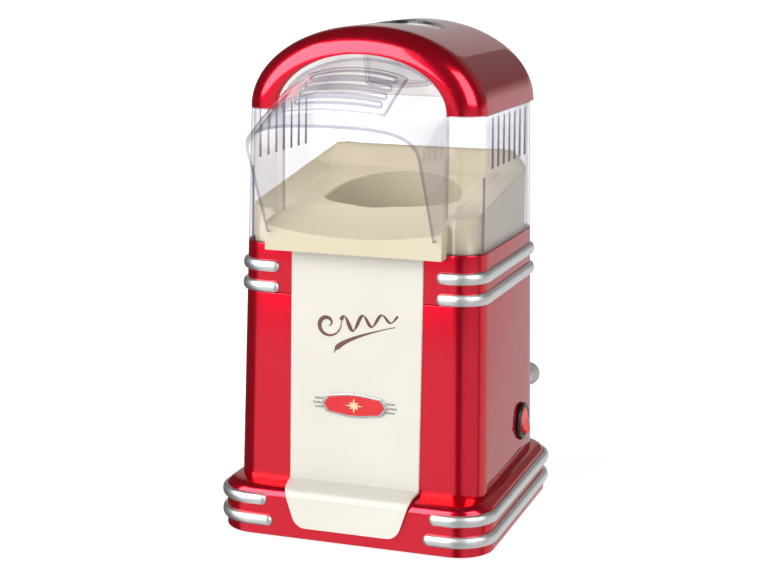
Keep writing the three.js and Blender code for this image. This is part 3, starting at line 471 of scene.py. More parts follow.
def trim_path(width, depth, radius, end, rows=150):
    """Points and normals from the front, round the back, to the front again, closer at both ends."""
    points, normals = outline(width, depth, radius, 18)
    order = np.roll(np.arange(len(points)), -3 * 18)
    points, normals = points[order], normals[order]
    points = np.vstack([[end, -depth / 2], points, [-end, -depth / 2]])
    normals = np.vstack([[0, -1], normals, [0, -1]])
    reach = np.concatenate([[0], np.cumsum(np.linalg.norm(np.diff(points, axis=0), axis=1))])
    half = TRIM_HEIGHT / 2
    tip = half * (1 - np.cos(np.linspace(0, np.pi / 2, 9)[:-1]))
    between = np.linspace(half, reach[-1] - half, rows)
    run = np.unique(np.concatenate([tip, reach[1:-1], between, reach[-1] - tip]))
    where = np.stack([np.interp(run, reach, points[:, k]) for k in (0, 1)], -1)
    facing = np.stack([np.interp(run, reach, normals[:, k]) for k in (0, 1)], -1)
    facing /= np.linalg.norm(facing, axis=1)[:, None]
    inward = np.minimum(run, run[-1] - run)
    share = np.sqrt(np.clip(1 - (1 - np.clip(inward / half, 0, 1)) ** 2, 0, 1))
    return where, facing, share


def make_trim(name, size, middle, end, finish, leaning, shift):
    """A half-round bar carried round an outline, its section shrinking to nothing at both ends."""
    where, facing, share = trim_path(size[0] + 0.2, size[1] + 0.2, size[2] + 0.1, end)
    angle = np.linspace(-np.pi / 2, np.pi / 2, 13)
    out = np.concatenate([TRIM_PROUD * np.cos(angle) ** 0.8, [-0.1, -0.1]])
    up = np.concatenate([TRIM_HEIGHT / 2 * np.sin(angle), [TRIM_HEIGHT / 2, -TRIM_HEIGHT / 2]])
    flat = where[:, None] + facing[:, None] * (out[None, :, None] * share[:, None, None])
    height = middle + up[None, :, None] * share[:, None, None]
    grid = np.concatenate([flat, height], -1)
    if leaning:
        grid = lean(grid)
    grid[..., 1] += shift
    faces = grid_faces(*grid.shape[:2], False, True)
    piece = build(name + "_bar", grid, faces, [finish], sharp=50)
    stands_for(piece, "housing", "silver_trim", name)


def make_trims():
    """Two bars round the base and two round the collar."""
    for step, (name, middle) in enumerate(BASE_TRIMS.items()):
        make_trim(name, BASE_SIZE, middle, BASE_TRIM_END - BASE_TRIM_STEP * step, SILVER, False, BASE_SHIFT)
    for name, middle in COLLAR_TRIMS.items():
        make_trim(name, (BODY_WIDTH, BODY_DEPTH, BODY_CORNER), middle, COLLAR_TRIM_END, SILVER, True, 0)


APRON_FOOT = 9.2


def make_apron():
    """A cream tongue over the base's shoulder: it narrows from the panel's width as it goes out and down."""
    face = BASE_SHIFT - BASE_DEPTH / 2 - 1.2
    top = BODY_FOOT + 0.5
    side = [(0, APRON_FOOT), (0, SHOULDER + 1.2), (-13.6, top), (-40, top), (-40, APRON_FOOT)]
    profile = filleted(side, [0, 6.5, 0, 0, 0], 9)[:-2]
    run = np.concatenate([[0], np.cumsum(np.linalg.norm(np.diff(profile, axis=0), axis=1))])
    corner = 5.5
    tip = corner * (1 - np.cos(np.linspace(0, np.pi / 2, 9)))
    rows = np.unique(np.concatenate([tip, np.linspace(corner, run[1], 10), run[1:]]))
    where = np.stack([np.interp(rows, run, profile[:, k]) for k in (0, 1)], -1)
    half = np.interp(rows, [0, 22, run[-1]], [31.0, 38.4, PANEL_HALF])
    part = 1 - np.clip(rows / corner, 0, 1)
    half -= corner * (1 - np.sqrt(np.clip(1 - part**2, 0, None)))
    across = np.linspace(-1, 1, 25)
    grid = np.stack([half[:, None] * across, np.broadcast_to(face - where[:, :1], (len(rows), 25)),
                     np.broadcast_to(where[:, 1:], (len(rows), 25))], -1)
    piece = build("base_apron_tongue", grid, grid_faces(len(rows), 25, False, False), [CREAM])
    if piece.data.polygons[0].normal.y > 0:
        piece.data.flip_normals()
    applied(piece, "SOLIDIFY", thickness=0.0015, offset=1.0)
    applied(piece, "BEVEL", width=0.0006, segments=3, limit_method="ANGLE", angle_limit=np.radians(50))
    soften(piece, 50)
    stands_for(piece, "housing", "cream_plastic", "base_apron")


# ---- Body --------------------------------------------------------------------------------------
BODY_SIZE = (BODY_WIDTH, BODY_DEPTH, BODY_CORNER)


def wall_section(bottom, top, thick, edge, steps=5):
    """A wall's upright section: outer face at 0, inner face at -thick, edges rounded."""
    return filleted([(0, bottom), (0, top), (-thick, top), (-thick, bottom)], [edge] * 4, steps)


def make_body_shell():
    """The leaning body, with a round hole for the switch, one for the cord and upright vents."""
    section = wall_section(BODY_FOOT - 1.3, SEAM, WALL, 0.4)
    shell = wall("body_shell_wall", BODY_SIZE, section, [RED], leaning=True)
    x = (np.arange(VENTS) - (VENTS - 1) / 2) * VENT_PITCH
    lows = np.stack([x - VENT_HALF, np.full(VENTS, 40.0), np.full(VENTS, VENT_BOTTOM)], -1)
    highs = np.stack([x + VENT_HALF, np.full(VENTS, 90.0), np.full(VENTS, VENT_TOP)], -1)
    cut_away(shell, boxes("vents", lows, highs, RED))
    half = half_width_at(SWITCH_HEIGHT - SWITCH_RADIUS)
    cut_away(shell, turned("switch_hole", rod(SWITCH_HOLE, -10, 10), 48, RED,
                           lambda g: on_side(g, half), closed=False))
    cut_away(shell, turned("cord_hole", rod(CORD_HOLE, -10, 10), 40, RED,
                           lambda g: on_back(g, 0, half_depth_at(CORD_HEIGHT), CORD_HEIGHT), closed=False))
    soften(shell)
    stands_for(shell, "housing", "red_paint", "body_shell")


def make_body_collar():
    """The leaning wall above the seam."""
    section = wall_section(SEAM + GAP, BODY_TOP, WALL, 0.6)
    collar = wall("body_collar_wall", BODY_SIZE, section, [RED], leaning=True)
    stands_for(collar, "housing", "red_paint", "body_collar")


def plate(name, corners, radii, rows, to_space, finishes, steps=7, sharp=35):
    """A flat plate: a rounded outline drawn in by each row's inset at each row's depth, ends closed."""
    loop = filleted(corners, radii, steps)
    tangent = np.roll(loop, -1, 0) - np.roll(loop, 1, 0)
    tangent /= np.maximum(np.linalg.norm(tangent, axis=1), 1e-9)[:, None]
    normal = np.stack([tangent[:, 1], -tangent[:, 0]], -1)
    area = np.sum(loop[:, 0] * np.roll(loop[:, 1], -1) - np.roll(loop[:, 0], -1) * loop[:, 1])
    normal *= np.sign(area)
    rows = np.asarray(rows, float)
    flat = loop[None] - normal[None] * rows[:, :1, None]
    depth = np.broadcast_to(rows[:, 1, None], flat.shape[:2])
    grid = to_space(flat[..., 0], flat[..., 1], depth)
    return build(name, grid, capped_rings(len(rows), len(loop)), finishes, sharp=sharp)


def edge_rows(thick, edge, steps=4):
    """Rows of a plate from its back to its front face, the front edge rounded."""
    turn = np.linspace(0, np.pi / 2, steps)
    rounded = zip(edge * (1 - np.cos(turn)), thick - edge + edge * np.sin(turn))
    return [(0, 0), *rounded, (1.25 * edge, thick), (1.3 * edge, thick)]


def on_front(proud):
    """Drawing (x, z) and depth to the leaning front wall, standing proud of it."""
    return lambda x, z, depth: np.stack([x, -half_depth_at(z) - proud - depth, z], -1)


def make_front_panel():
    """A thin cream plate against the leaning front wall, from the base to the tray's lip."""
    top = BODY_TOP - LIP_DROP - GAP
    foot = BODY_FOOT - 0.3
    corners = [(-PANEL_HALF, foot), (PANEL_HALF, foot), (PANEL_HALF, top), (-PANEL_HALF, top)]
    rows = edge_rows(PANEL_THICK, 0.7)
    panel = plate("front_panel_plate", corners, [1.2] * 4, rows, on_front(0.05), [CREAM], steps=3)
    stands_for(panel, "housing", "cream_plastic", "front_panel")


# ---- Turned fittings ---------------------------------------------------------------------------
def on_side(grid, reach):
    """Turns +Z to +X and moves to the switch's place, at a reach from the middle."""
    return np.stack([grid[..., 2] + reach, grid[..., 1] + SWITCH_BACK, SWITCH_HEIGHT - grid[..., 0]], -1)


def on_back(grid, x, reach, z):
    """Turns +Z to +Y and moves to a place on the rear wall."""
    return np.stack([grid[..., 0] + x, grid[..., 2] + reach, z - grid[..., 1]], -1)


def make_cord_fittings():
    """Two spools that the cord is wound round, and the gland where it would come out."""
    profile = filleted(
        [(0, -1), (POST_RADIUS + 1.5, -1), (POST_RADIUS + 1.5, 2), (POST_RADIUS, 4),
         (POST_RADIUS, POST_REACH - 6.5), (POST_FLANGE, POST_REACH - 5), (POST_FLANGE, POST_REACH),
         (0, POST_REACH)],
        [0, 0, 0.6, 1.5, 1.0, 0.8, 1.6, 0], 6)
    reach = half_depth_at(POST_HEIGHT - 9) + GAP
    for side, name in ((-1, "cord_post_left"), (1, "cord_post_right")):
        post = turned(name + "_spool", profile, 40, GREY,
                      lambda g: on_back(g, side * POST_SPREAD, reach, POST_HEIGHT))
        stands_for(post, "housing", "grey_plastic", name)
    ring = filleted([(3, -6), (5.6, -6), (5.6, 2.8), (8.5, 2.8), (8.5, 4.4), (5.4, 7), (3, 7)],
                    [0, 0, 0, 0.4, 0.8, 0.8, 0.6], 5)
    seat = half_depth_at(CORD_HEIGHT - 8) - 2
    gland = turned("cord_gland_ring", ring, 40, BLACK, lambda g: on_back(g, 0, seat, CORD_HEIGHT))
    stands_for(gland, "housing", "black_plastic", "cord_gland")


def make_switch():
    """A round bezel and a rocker whose top is a shallow V, its lower half standing out."""
    half = half_width_at(SWITCH_HEIGHT - SWITCH_RADIUS)
    inner = SWITCH_HOLE - 1.6
    ring = filleted([(inner, -6), (inner, 2.2), (SWITCH_RADIUS - 1.0, 2.2), (SWITCH_RADIUS, 0.1),
                     (SWITCH_HOLE - GAP, 0.1), (SWITCH_HOLE - GAP, -6)], [0, 0.5, 1.0, 0.3, 0, 0], 6)
    bezel = turned("switch_bezel_ring", ring, 64, BLACK, lambda g: on_side(g, half))
    stands_for(bezel, "housing", "black_plastic", "switch_bezel")
    radius = inner - 2 * GAP
    tilt = np.radians(-ROCKER_TILT)
    rounding = np.linspace(0, np.pi / 2, 6)
    spread_out = np.concatenate([[0, 1, 1], 1 - 0.09 * (1 - np.cos(rounding)), np.linspace(0.88, 0, 16)])
    level = np.concatenate([[0, 0], [0.5], 0.94 + 0.06 * np.sin(rounding), np.ones(16)])
    angle = np.linspace(0, 2 * np.pi, 64, endpoint=False)
    x = radius * spread_out[:, None] * np.cos(angle)
    y = radius * spread_out[:, None] * np.sin(angle)
    top = 3 + (np.sqrt(x * x + 0.6) - np.sqrt(0.6)) * np.tan(-tilt)
    z = level[:, None] * top - 0.6
    grid = np.stack([x * np.cos(tilt) + z * np.sin(tilt), y, z * np.cos(tilt) - x * np.sin(tilt)], -1)
    faces = grid_faces(*x.shape, False, True)
    rocker = build("switch_rocker_cap", on_side(grid, half), faces, [ROCKER], sharp=40)
    stands_for(rocker, "rocker", "rocker_plastic", "switch_rocker")


# ---- Tray --------------------------------------------------------------------------------------
def tray_top(x, y):
    """Height of the tray: a ramp from the lip to the well, rising behind it, with a block at each side."""
    side = np.abs(x)
    edge = smooth((side - WELL_RADIUS) / 18)
    past_front = y - TRAY_FRONT
    climb = np.clip(past_front / (WELL_RADIUS - TRAY_FRONT), 0, 1)
    behind = TRAY_RISE * (edge * climb + (1 - edge) * np.clip(y / WELL_RADIUS, 0, 1))
    outward = np.clip((side - WELL_RADIUS) / (TRAY_HALF - WELL_RADIUS), 0, 1)
    sides = 5.5 * outward ** 2 * np.clip(past_front / (-2 * TRAY_FRONT), 0, 1)
    back = (TRAY_BACK - WELL_RIM - TRAY_RISE) * smooth((y - WELL_RADIUS) / 15)
    corner = 1 - np.clip((side - TRAY_BACK_HALF) / (TRAY_HALF - TRAY_BACK_HALF), 0, 1)
    forward = np.maximum(0, -WELL_RADIUS - y)
    block = smooth((side - BLOCK_HALF) / BLOCK_EDGE)
    ramp = forward * RAMP_SLOPE - RAMP_CROWN * (side / RAMP_HALF) ** 2 * (forward / RAMP_REACH)
    return WELL_RIM + behind + sides + back * corner - ramp * (1 - block) - block * BLOCK_DROP


def tray_reach(angle):
    """Distance from the well's axis to the tray's edge: the body's inside, or the lip if it is further."""
    c, s = np.cos(angle), np.sin(angle)
    half_x = half_width_at(TRAY_LEVEL) - WALL - GAP - 0.4
    half_y = half_depth_at(TRAY_LEVEL) - WALL - GAP - 0.4
    corner = BODY_CORNER - WALL - 0.7
    mx, my = half_x - corner, half_y - corner
    away = np.stack([np.abs(c), np.abs(s)], -1)
    b = -(away[:, 0] * mx + away[:, 1] * my)
    k = mx * mx + my * my - corner * corner
    round_part = -b + np.sqrt(np.maximum(b * b - k, 0))
    flat_x, flat_y = half_x / np.maximum(away[:, 0], 1e-9), half_y / np.maximum(away[:, 1], 1e-9)
    box = np.where(flat_x * away[:, 1] <= my, flat_x, np.where(flat_y * away[:, 0] <= mx, flat_y, round_part))
    lip_y = -(FRONT - LIP_REACH)
    lip = np.minimum(LIP_HALF / np.maximum(away[:, 0], 1e-9), lip_y / np.maximum(-s, 1e-9))
    lip = np.where(s < 0, lip, 0)
    return np.maximum(box, lip), lip > box


def make_tray():
    """The tray, drawn in rings about the well: up its bore, over its rim, out over the dish to the edge,
    down the outside, and back underneath at the wall's thickness."""
    lip_y = -(FRONT - LIP_REACH)
    step = np.arctan2(-lip_y, LIP_HALF)
    join = np.arctan2(-half_depth_at(TRAY_LEVEL) + WALL + 0.7, LIP_HALF)
    extra = np.array([step, join, join - 1e-4])
    extra = np.concatenate([extra, np.pi - extra]) % (2 * np.pi)
    angle = np.unique(np.concatenate([np.linspace(0, 2 * np.pi, 361)[:-1], extra]))
    reach, in_lip = tray_reach(angle)
    rim = 2.0
    turn = np.linspace(0, np.pi / 2, 6)
    out = np.linspace(0, 1, 44)
    edge = 1.2
    c, s = np.cos(angle), np.sin(angle)

    def ring(radius, height):
        return np.stack([radius * c, radius * s, np.broadcast_to(height, radius.shape)], -1)

    rows = []
    start = np.full(len(angle), WELL_RADIUS)
    rim_top = tray_top((WELL_RADIUS + rim) * c, (WELL_RADIUS + rim) * s)
    for level in (0.0, 0.35, 0.7):
        rows.append(ring(start, WELL_BOTTOM + (rim_top - rim - WELL_BOTTOM) * level))
    for a in turn:
        rows.append(ring(start + rim * (1 - np.cos(a)), rim_top - rim + rim * np.sin(a)))
    for t in out[1:]:
        radius = start + rim + (reach - edge - start - rim) * t
        rows.append(ring(radius, tray_top(radius * c, radius * s)))
    last = tray_top((reach - edge) * c, (reach - edge) * s)
    for a in turn[1:]:
        rows.append(ring(reach - edge + edge * np.sin(a), last - edge + edge * np.cos(a)))
    floor = np.where(in_lip, BODY_TOP - LIP_DROP, BODY_TOP - 3.7)
    rows.append(ring(reach, floor))
    rows.append(ring(reach - WALL, floor))
    for t in out[::-1][1:]:
        radius = start + WELL_WALL + (reach - WALL - start - WELL_WALL) * t
        rows.append(ring(radius, np.maximum(tray_top(radius * c, radius * s) - 2.8, floor + 0.2)))
    rows.append(ring(start + WELL_WALL, np.full(len(angle), WELL_BOTTOM)))
    grid = np.stack(rows)
    piece = build("popcorn_tray_dish", grid, grid_faces(*grid.shape[:2], True, True), [TRAY], sharp=40)
    stands_for(piece, "housing", "tray_plastic", "popcorn_tray")


# ---- Hood, visor, roof and cup -----------------------------------------------------------------
def make_hood():
    """Clear walls from one side of the mouth round the back to the other, with upright slots, each edged by a
    dark groove of painted shade. A thin dark strip of painted shade stands inside each front corner, and a
    half ring closes the front between the visor and the roof."""
    end = VISOR_HALF + GAP
    points, normals = outline(*BODY_SIZE, 18)
    order = np.roll(np.arange(len(points)), -3 * 18)
    points = np.vstack([[end, -BODY_DEPTH / 2], points[order], [-end, -BODY_DEPTH / 2]])
    normals = np.vstack([[0, -1], normals[order], [0, -1]])
    section = wall_section(BODY_TOP + GAP, EAVES, CLEAR_WALL, 0.3, 3)
    grid = lean(carried(points, normals, section))
    grid[:, 0, 0], grid[:, -1, 0] = end, -end
    count, columns = grid.shape[:2]
    faces = capped_ends(count, columns, True)
    edge_of = ~np.isin(np.arange(count), [2, 8])
    marks = list(np.repeat(edge_of.astype(int), columns - 1)) + [0, 0]
    hood = build("clear_hood_walls", grid, faces, [CLEAR, CLEAR_EDGE_AND_PAINTED_LINES], marks, 30)
    y = (np.arange(SLOTS) - (SLOTS - 1) / 2) * SLOT_PITCH
    line_reach = half_width_at((SLOT_BOTTOM + EAVES) / 2) - SLOT_LINE_DEPTH
    # The second cut is a shallow groove round each slot, lined with the near-black slot tint: painted shade
    # for the slot's dark line.
    for reach, half, finish in ((0.0, SLOT_HALF, CLEAR), (line_reach, SLOT_LINE_HALF, SLOT_PAINTED_SHADE)):
        for side in (-1, 1):
            near, far = np.full(SLOTS, side * reach), np.full(SLOTS, side * 120.0)
            lows = np.stack([np.minimum(near, far), y - half, np.full(SLOTS, SLOT_BOTTOM)], -1)
            highs = np.stack([np.maximum(near, far), y + half, np.full(SLOTS, EAVES - 2)], -1)
            cut_away(hood, boxes("hood_slots", lows, highs, finish))
    soften(hood, 30)
    stands_for(hood, "hood", "clear_plastic", "clear_hood")
    # Thin strips in the dark edge tint stand inside the two front corners: painted shade, a dark line where
    # each corner shows a shadow line.
    shade_strips = boxes("clear_hood_painted_shade_strips", [(SHADE_STRIP_INNER, SHADE_STRIP_FRONT, SHADE_STRIP_FOOT), (-SHADE_STRIP_OUTER, SHADE_STRIP_FRONT, SHADE_STRIP_FOOT)],
                 [(SHADE_STRIP_OUTER, SHADE_STRIP_BACK, SHADE_STRIP_TOP), (-SHADE_STRIP_INNER, SHADE_STRIP_BACK, SHADE_STRIP_TOP)], CLEAR_EDGE_AND_PAINTED_LINES)
    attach(shade_strips, "hood")
    count = 49
    turn = np.linspace(0, np.pi, count)
    a, b = ROOF_HALF - BROW_INSET, ROOF_RISE - BROW_INSET
    inner_a, inner_b = VISOR_HALF + GAP, VISOR_CROWN + GAP
    ring = [(a, b, 0), (a, b, CLEAR_WALL), (inner_a, inner_b, CLEAR_WALL), (inner_a, inner_b, 0)]
    grid = np.stack([np.stack([p * np.cos(turn), np.full(count, BROW + d), EAVES + q * np.sin(turn)], -1)
                     for p, q, d in ring])
    marks = list(np.repeat([0, 0, 1, 0], count - 1)) + [0, 0]
    brow = build("clear_hood_brow", grid, capped_ends(len(ring), count, True), [CLEAR, CLEAR_EDGE_AND_PAINTED_LINES], marks)
    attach(brow, "hood")


def visor_rim(z):
    """Where the visor's rim is at a height: a straight line that leans by VISOR_RAKE."""
    return FRONT - VISOR_REACH + VISOR_RAKE * (TOTAL_HEIGHT - 50 - z)


def draw_visor(x, along, z):
    """Draws the straight tunnel forward: its crown falls, its foot dips and its rim leans."""
    high = smooth((z - VISOR_BOTTOM) / (EAVES - 6 - VISOR_BOTTOM))
    fall = VISOR_SAG - 13 * (x / VISOR_HALF) ** 2
    sunk = z - along * (high * fall + (1 - high) * VISOR_DIP)
    back = BROW + 1
    return np.stack([x, back + along * (visor_rim(sunk) - back), sunk], -1)


def visor_section(half, crown, count=221):
    """Up one side, over a half ellipse and down the other, evenly spaced."""
    turn = np.linspace(0, np.pi, 300)
    arch = np.stack([half * np.cos(turn), EAVES + crown * np.sin(turn)], -1)
    line = np.vstack([[half, VISOR_BOTTOM], arch, [-half, VISOR_BOTTOM]])
    reach = np.concatenate([[0], np.cumsum(np.linalg.norm(np.diff(line, axis=0), axis=1))])
    run = np.linspace(0, reach[-1], count)
    return np.stack([np.interp(run, reach, line[:, k]) for k in (0, 1)], -1)


LOUVRE_FIELD = (29.0, 0.165, 0.785)  # half width, and its start and end along the visor
LOUVRE_RISE = 1.4


def louvre_field(x, along):
    """1 inside the raised field, 0 outside, with a steep rounded edge."""
    half, start, end = LOUVRE_FIELD
    side = smooth((half - np.abs(x)) / 0.9 + 0.5)
    ends = smooth((along - start) / 0.016 + 0.5) * smooth((end - along) / 0.016 + 0.5)
    return side * ends


def make_visor():
    """The clear visor: two skins a wall apart, joined at the edges, with a raised field of slots whose steep
    border is tinted dark as a painted reflection line.
    """
    rows = 120
    along = np.linspace(0, 1, rows)[:, None]
    skins = []
    for inset in (0.0, CLEAR_WALL):
        section = visor_section(VISOR_HALF - inset, VISOR_CROWN - inset)
        x = np.broadcast_to(section[:, 0], (rows, len(section)))
        z = np.broadcast_to(section[:, 1], (rows, len(section)))
        raised = LOUVRE_RISE * louvre_field(x, along) * (z > EAVES)
        skins.append(draw_visor(x, np.broadcast_to(along, x.shape), z + raised))
    outer, inner = skins
    count = outer.shape[1]
    points = np.concatenate([outer.reshape(-1, 3), inner.reshape(-1, 3)])
    sheet = grid_faces(rows, count, False, False)
    total = rows * count
    loop = np.concatenate([np.arange(count), np.arange(1, rows) * count + count - 1,
                           total - 2 - np.arange(count - 1), (rows - 2 - np.arange(rows - 2)) * count])
    ahead = np.roll(loop, -1)
    edge = np.stack([loop, ahead, ahead + total, loop + total], -1)
    faces = np.concatenate([sheet, sheet[:, ::-1] + total, edge])
    across = visor_section(VISOR_HALF, VISOR_CROWN, count)[:, 0]
    rise = LOUVRE_RISE * louvre_field(*np.broadcast_arrays(across, along))
    corners = rise.ravel()[sheet]
    # Faces on the raised field's steep border take the edge tint: a painted dark line standing for the
    # reflection off the border's slopes.
    slope = (np.ptp(corners, axis=1) > 0.3 * LOUVRE_RISE) & (outer[..., 2].ravel()[sheet].min(1) > EAVES - 12)
    marks = np.concatenate([slope, np.zeros(len(sheet)), np.ones(len(edge))])
    piece = build("visor_shell", points, faces, [CLEAR, CLEAR_EDGE_AND_PAINTED_LINES], marks.astype(int), 40)
    for k in range(4):
        cut_away(piece, visor_slot(0.25 + 0.13 * k))
    soften(piece, 40)
    stands_for(piece, "hood", "clear_plastic", "visor")


def visor_slot(middle):
    """A tool for one slot: a round-ended slot outline, taken from below to above the visor's crown."""
    half, thick, end = 25.5, 0.04, 2.5
    turn = np.linspace(-np.pi / 2, np.pi / 2, 9)
    x = np.concatenate([half - end + end * np.cos(turn), -(half - end) - end * np.cos(turn)])
    along = middle + thick * np.concatenate([np.sin(turn), -np.sin(turn)])
    levels = np.linspace(EAVES + 8, EAVES + 44, 7)
    grid = np.stack([draw_visor(x, along, np.full(len(x), level)) for level in levels])
    return build("visor_slot", grid, capped_rings(len(levels), len(x)), [CLEAR_EDGE_AND_PAINTED_LINES])


def roof_height(x):
    """Height of the roof's barrel over a distance from the middle."""
    return EAVES + GAP + ROOF_RISE * np.sqrt(np.clip(1 - (x / ROOF_HALF) ** 2, 0, 1))


def make_roof():
    """An elliptical barrel with a broad rounded nose, open below and at the mouth, pale inside."""
    nose = np.linspace(0, np.pi / 2, 22)
    heel = np.linspace(0, np.pi / 2, 9)
    rows = [(0.001, 0.001, ROOF_REACH), (0.5 * ROOF_HALF, 0.5 * ROOF_RISE, ROOF_REACH)]
    rows += [(ROOF_HALF - ROOF_HEEL * (1 - np.sin(a)), ROOF_RISE - ROOF_HEEL * (1 - np.sin(a)),
              ROOF_REACH - ROOF_HEEL * (1 - np.cos(a))) for a in heel]
    straight = np.linspace(ROOF_REACH - ROOF_HEEL, -ROOF_REACH + ROOF_NOSE, 14)[1:-1]
    rows += [(ROOF_HALF, ROOF_RISE, y) for y in straight]
    rows += [(ROOF_HALF - ROOF_NOSE * (1 - np.cos(a)), ROOF_RISE - ROOF_NOSE * (1 - np.cos(a)),
              -ROOF_REACH + ROOF_NOSE * (1 - np.sin(a))) for a in nose]
    flat = ROOF_HALF - ROOF_NOSE, ROOF_RISE - ROOF_NOSE
    edge = 0.9
    turn = np.linspace(0, np.pi / 2, 5)
    mouth = MOUTH_HALF, min(MOUTH_RISE - GAP, flat[1])
    rows += [(mouth[0] + edge * (1 - np.sin(a)), mouth[1] + 0.02 - 0.02 * np.sin(a),
              -ROOF_REACH + edge * (1 - np.cos(a))) for a in turn]
    outside = len(rows)
    rows += [(mouth[0], mouth[1], -ROOF_REACH + 3.2), (flat[0] - 1, flat[1] + 2, -ROOF_REACH + 3.4)]
    rows += [(ROOF_HALF - WALL, ROOF_RISE - WALL, y)
             for y in (-ROOF_REACH + ROOF_NOSE, 0, ROOF_REACH - ROOF_HEEL)]
    rows += [(ROOF_HALF - WALL - 2, ROOF_RISE - WALL - 2, ROOF_REACH - WALL),
             (0.5 * ROOF_HALF, 0.5 * ROOF_RISE, ROOF_REACH - WALL), (0.001, 0.001, ROOF_REACH - WALL)]
    t = np.linspace(0, np.pi, 121)
    rows = np.array(rows)
    grid = np.stack([rows[:, :1] * np.cos(t), np.broadcast_to(rows[:, 2:], (len(rows), len(t))),
                     EAVES + GAP + rows[:, 1:2] * np.sin(t)], -1)
    columns = len(t)
    faces = capped_ends(len(rows), columns, False)
    marks = list(np.repeat((np.arange(len(rows) - 1) >= outside).astype(int), columns - 1)) + [0, 0]
    roof = build("roof_barrel", grid, faces, [RED, PALE], marks, 30)
    for radius, depth in ((CUP_FLANGE + 0.1, SEAT_DEPTH), (CUP_RADIUS + 0.1, 30)):
        tool = turned("cup_seat", rod(radius, TOTAL_HEIGHT - depth, TOTAL_HEIGHT + 5), 72, BLACK,
                      lambda g: g + [0, CUP_SHIFT, 0], closed=False)
        cut_away(roof, tool)
    soften(roof, 30)
    stands_for(roof, "hood", "red_paint", "roof")


def make_cup():
    """A clear measuring cup; its flange follows the roof's curve."""
    floor = TOTAL_HEIGHT - CUP_DEPTH
    seat = TOTAL_HEIGHT - SEAT_DEPTH + GAP
    inner = CUP_RADIUS - CLEAR_WALL
    profile = filleted(
        [(0, floor), (CUP_RADIUS - 3, floor), (CUP_RADIUS, seat), (CUP_FLANGE, seat),
         (CUP_FLANGE, TOTAL_HEIGHT), (inner, TOTAL_HEIGHT), (inner, seat - 4),
         (inner - 3, floor + CLEAR_WALL), (0, floor + CLEAR_WALL)],
        [0, 3, 0.3, 0.3, 0.6, 0.8, 1, 2, 0], 6)

    def follow(grid):
        height = grid[..., 2]
        top = roof_height(grid[..., 0])
        grid[..., 2] = np.where(height > seat - 0.01, np.minimum(height, top), height)
        return grid + [0, CUP_SHIFT, 0]

    cup = turned("measuring_cup_shell", profile, 72, CLEAR, follow, 40)
    stands_for(cup, "cup", "clear_plastic", "measuring_cup")


# ---- Ornaments ---------------------------------------------------------------------------------
BADGE_MIDDLE = 82.5


def make_badge():
    """A ten-sided enamel plate with a chrome rim, three bright bars at each side and a star motif whose peach
    colour is a painted highlight.
    """
    upper = [(-20.5, 0), (-17, 5.2), (-4, 7.0), (4, 7.0), (17, 5.2)]
    rim = [(x, z + BADGE_MIDDLE) for x, z in upper + [(-x, -z) for x, z in upper]]
    face = PANEL_THICK + 0.05
    body = plate("front_badge_plate", rim[::-1], [0.6, 1.2] * 5, edge_rows(1.1, 0.4), on_front(face),
                 [CHROME], steps=4)
    stands_for(body, "housing", "badge_metal", "front_badge")
    field = [(x * 0.91, BADGE_MIDDLE + (z - BADGE_MIDDLE) * 0.83) for x, z in rim]
    enamel = plate("front_badge_enamel", field[::-1], [0.5, 1.0] * 5, edge_rows(0.4, 0.2),
                   on_front(face + 0.95), [BADGE_RED], steps=4)
    # The star stands in for the badge's lettering; its peach colour is a painted highlight.
    turn = np.linspace(0, 2 * np.pi, 17)[:-1] + np.pi / 2
    reach = np.where(np.arange(16) % 2 == 0, np.where(np.arange(16) % 4 == 0, 5.0, 3.4), 1.5)
    star = [(r * 1.25 * np.cos(a), BADGE_MIDDLE + r * np.sin(a)) for r, a in zip(reach, turn)]
    painted_highlight_star = plate("front_badge_star", star, [0.15] * 16, edge_rows(0.25, 0.1), on_front(face + 1.3),
                 [BADGE_PAINTED_HIGHLIGHT], steps=3)
    bars = []
    for side in (-1, 1):
        for rise, start, end in ((2.6, 19.0, 24.6), (0.0, 20.8, 26.0), (-2.6, 19.0, 24.6)):
            z = BADGE_MIDDLE + rise
            x0, x1 = sorted((side * start, side * end))
            corners = [(x0, z - 0.4), (x1, z - 0.4), (x1, z + 0.4), (x0, z + 0.4)]
            name = f"front_badge_bar_{len(bars)}"
            rows = edge_rows(0.5, 0.25)
            bars.append(plate(name, corners, [0.35] * 4, rows, on_front(face), [BAR_STEEL], steps=3))
    for piece in (enamel, painted_highlight_star, *bars):
        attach(piece, "housing")


def stroke(name, line, width, finish, proud=0.12):
    """A flat pen stroke on the front panel: a line of (x, z) with a width at each point."""
    line, width = np.asarray(line, float), np.asarray(width, float)
    ahead = np.gradient(line, axis=0)
    ahead /= np.linalg.norm(ahead, axis=1)[:, None]
    side = np.stack([-ahead[:, 1], ahead[:, 0]], -1) * width[:, None] / 2
    flat = np.stack([line - side, line + side, line + side, line - side])
    depth = np.array([0.02, 0.02, proud, proud])[:, None]
    y = -half_depth_at(flat[..., 1]) - PANEL_THICK - 0.05 - np.broadcast_to(depth, flat.shape[:2])
    grid = np.stack([flat[..., 0], y, flat[..., 1]], -1)
    piece = build(name, grid, capped_ends(4, len(line), True), [finish], sharp=50)
    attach(piece, "housing")


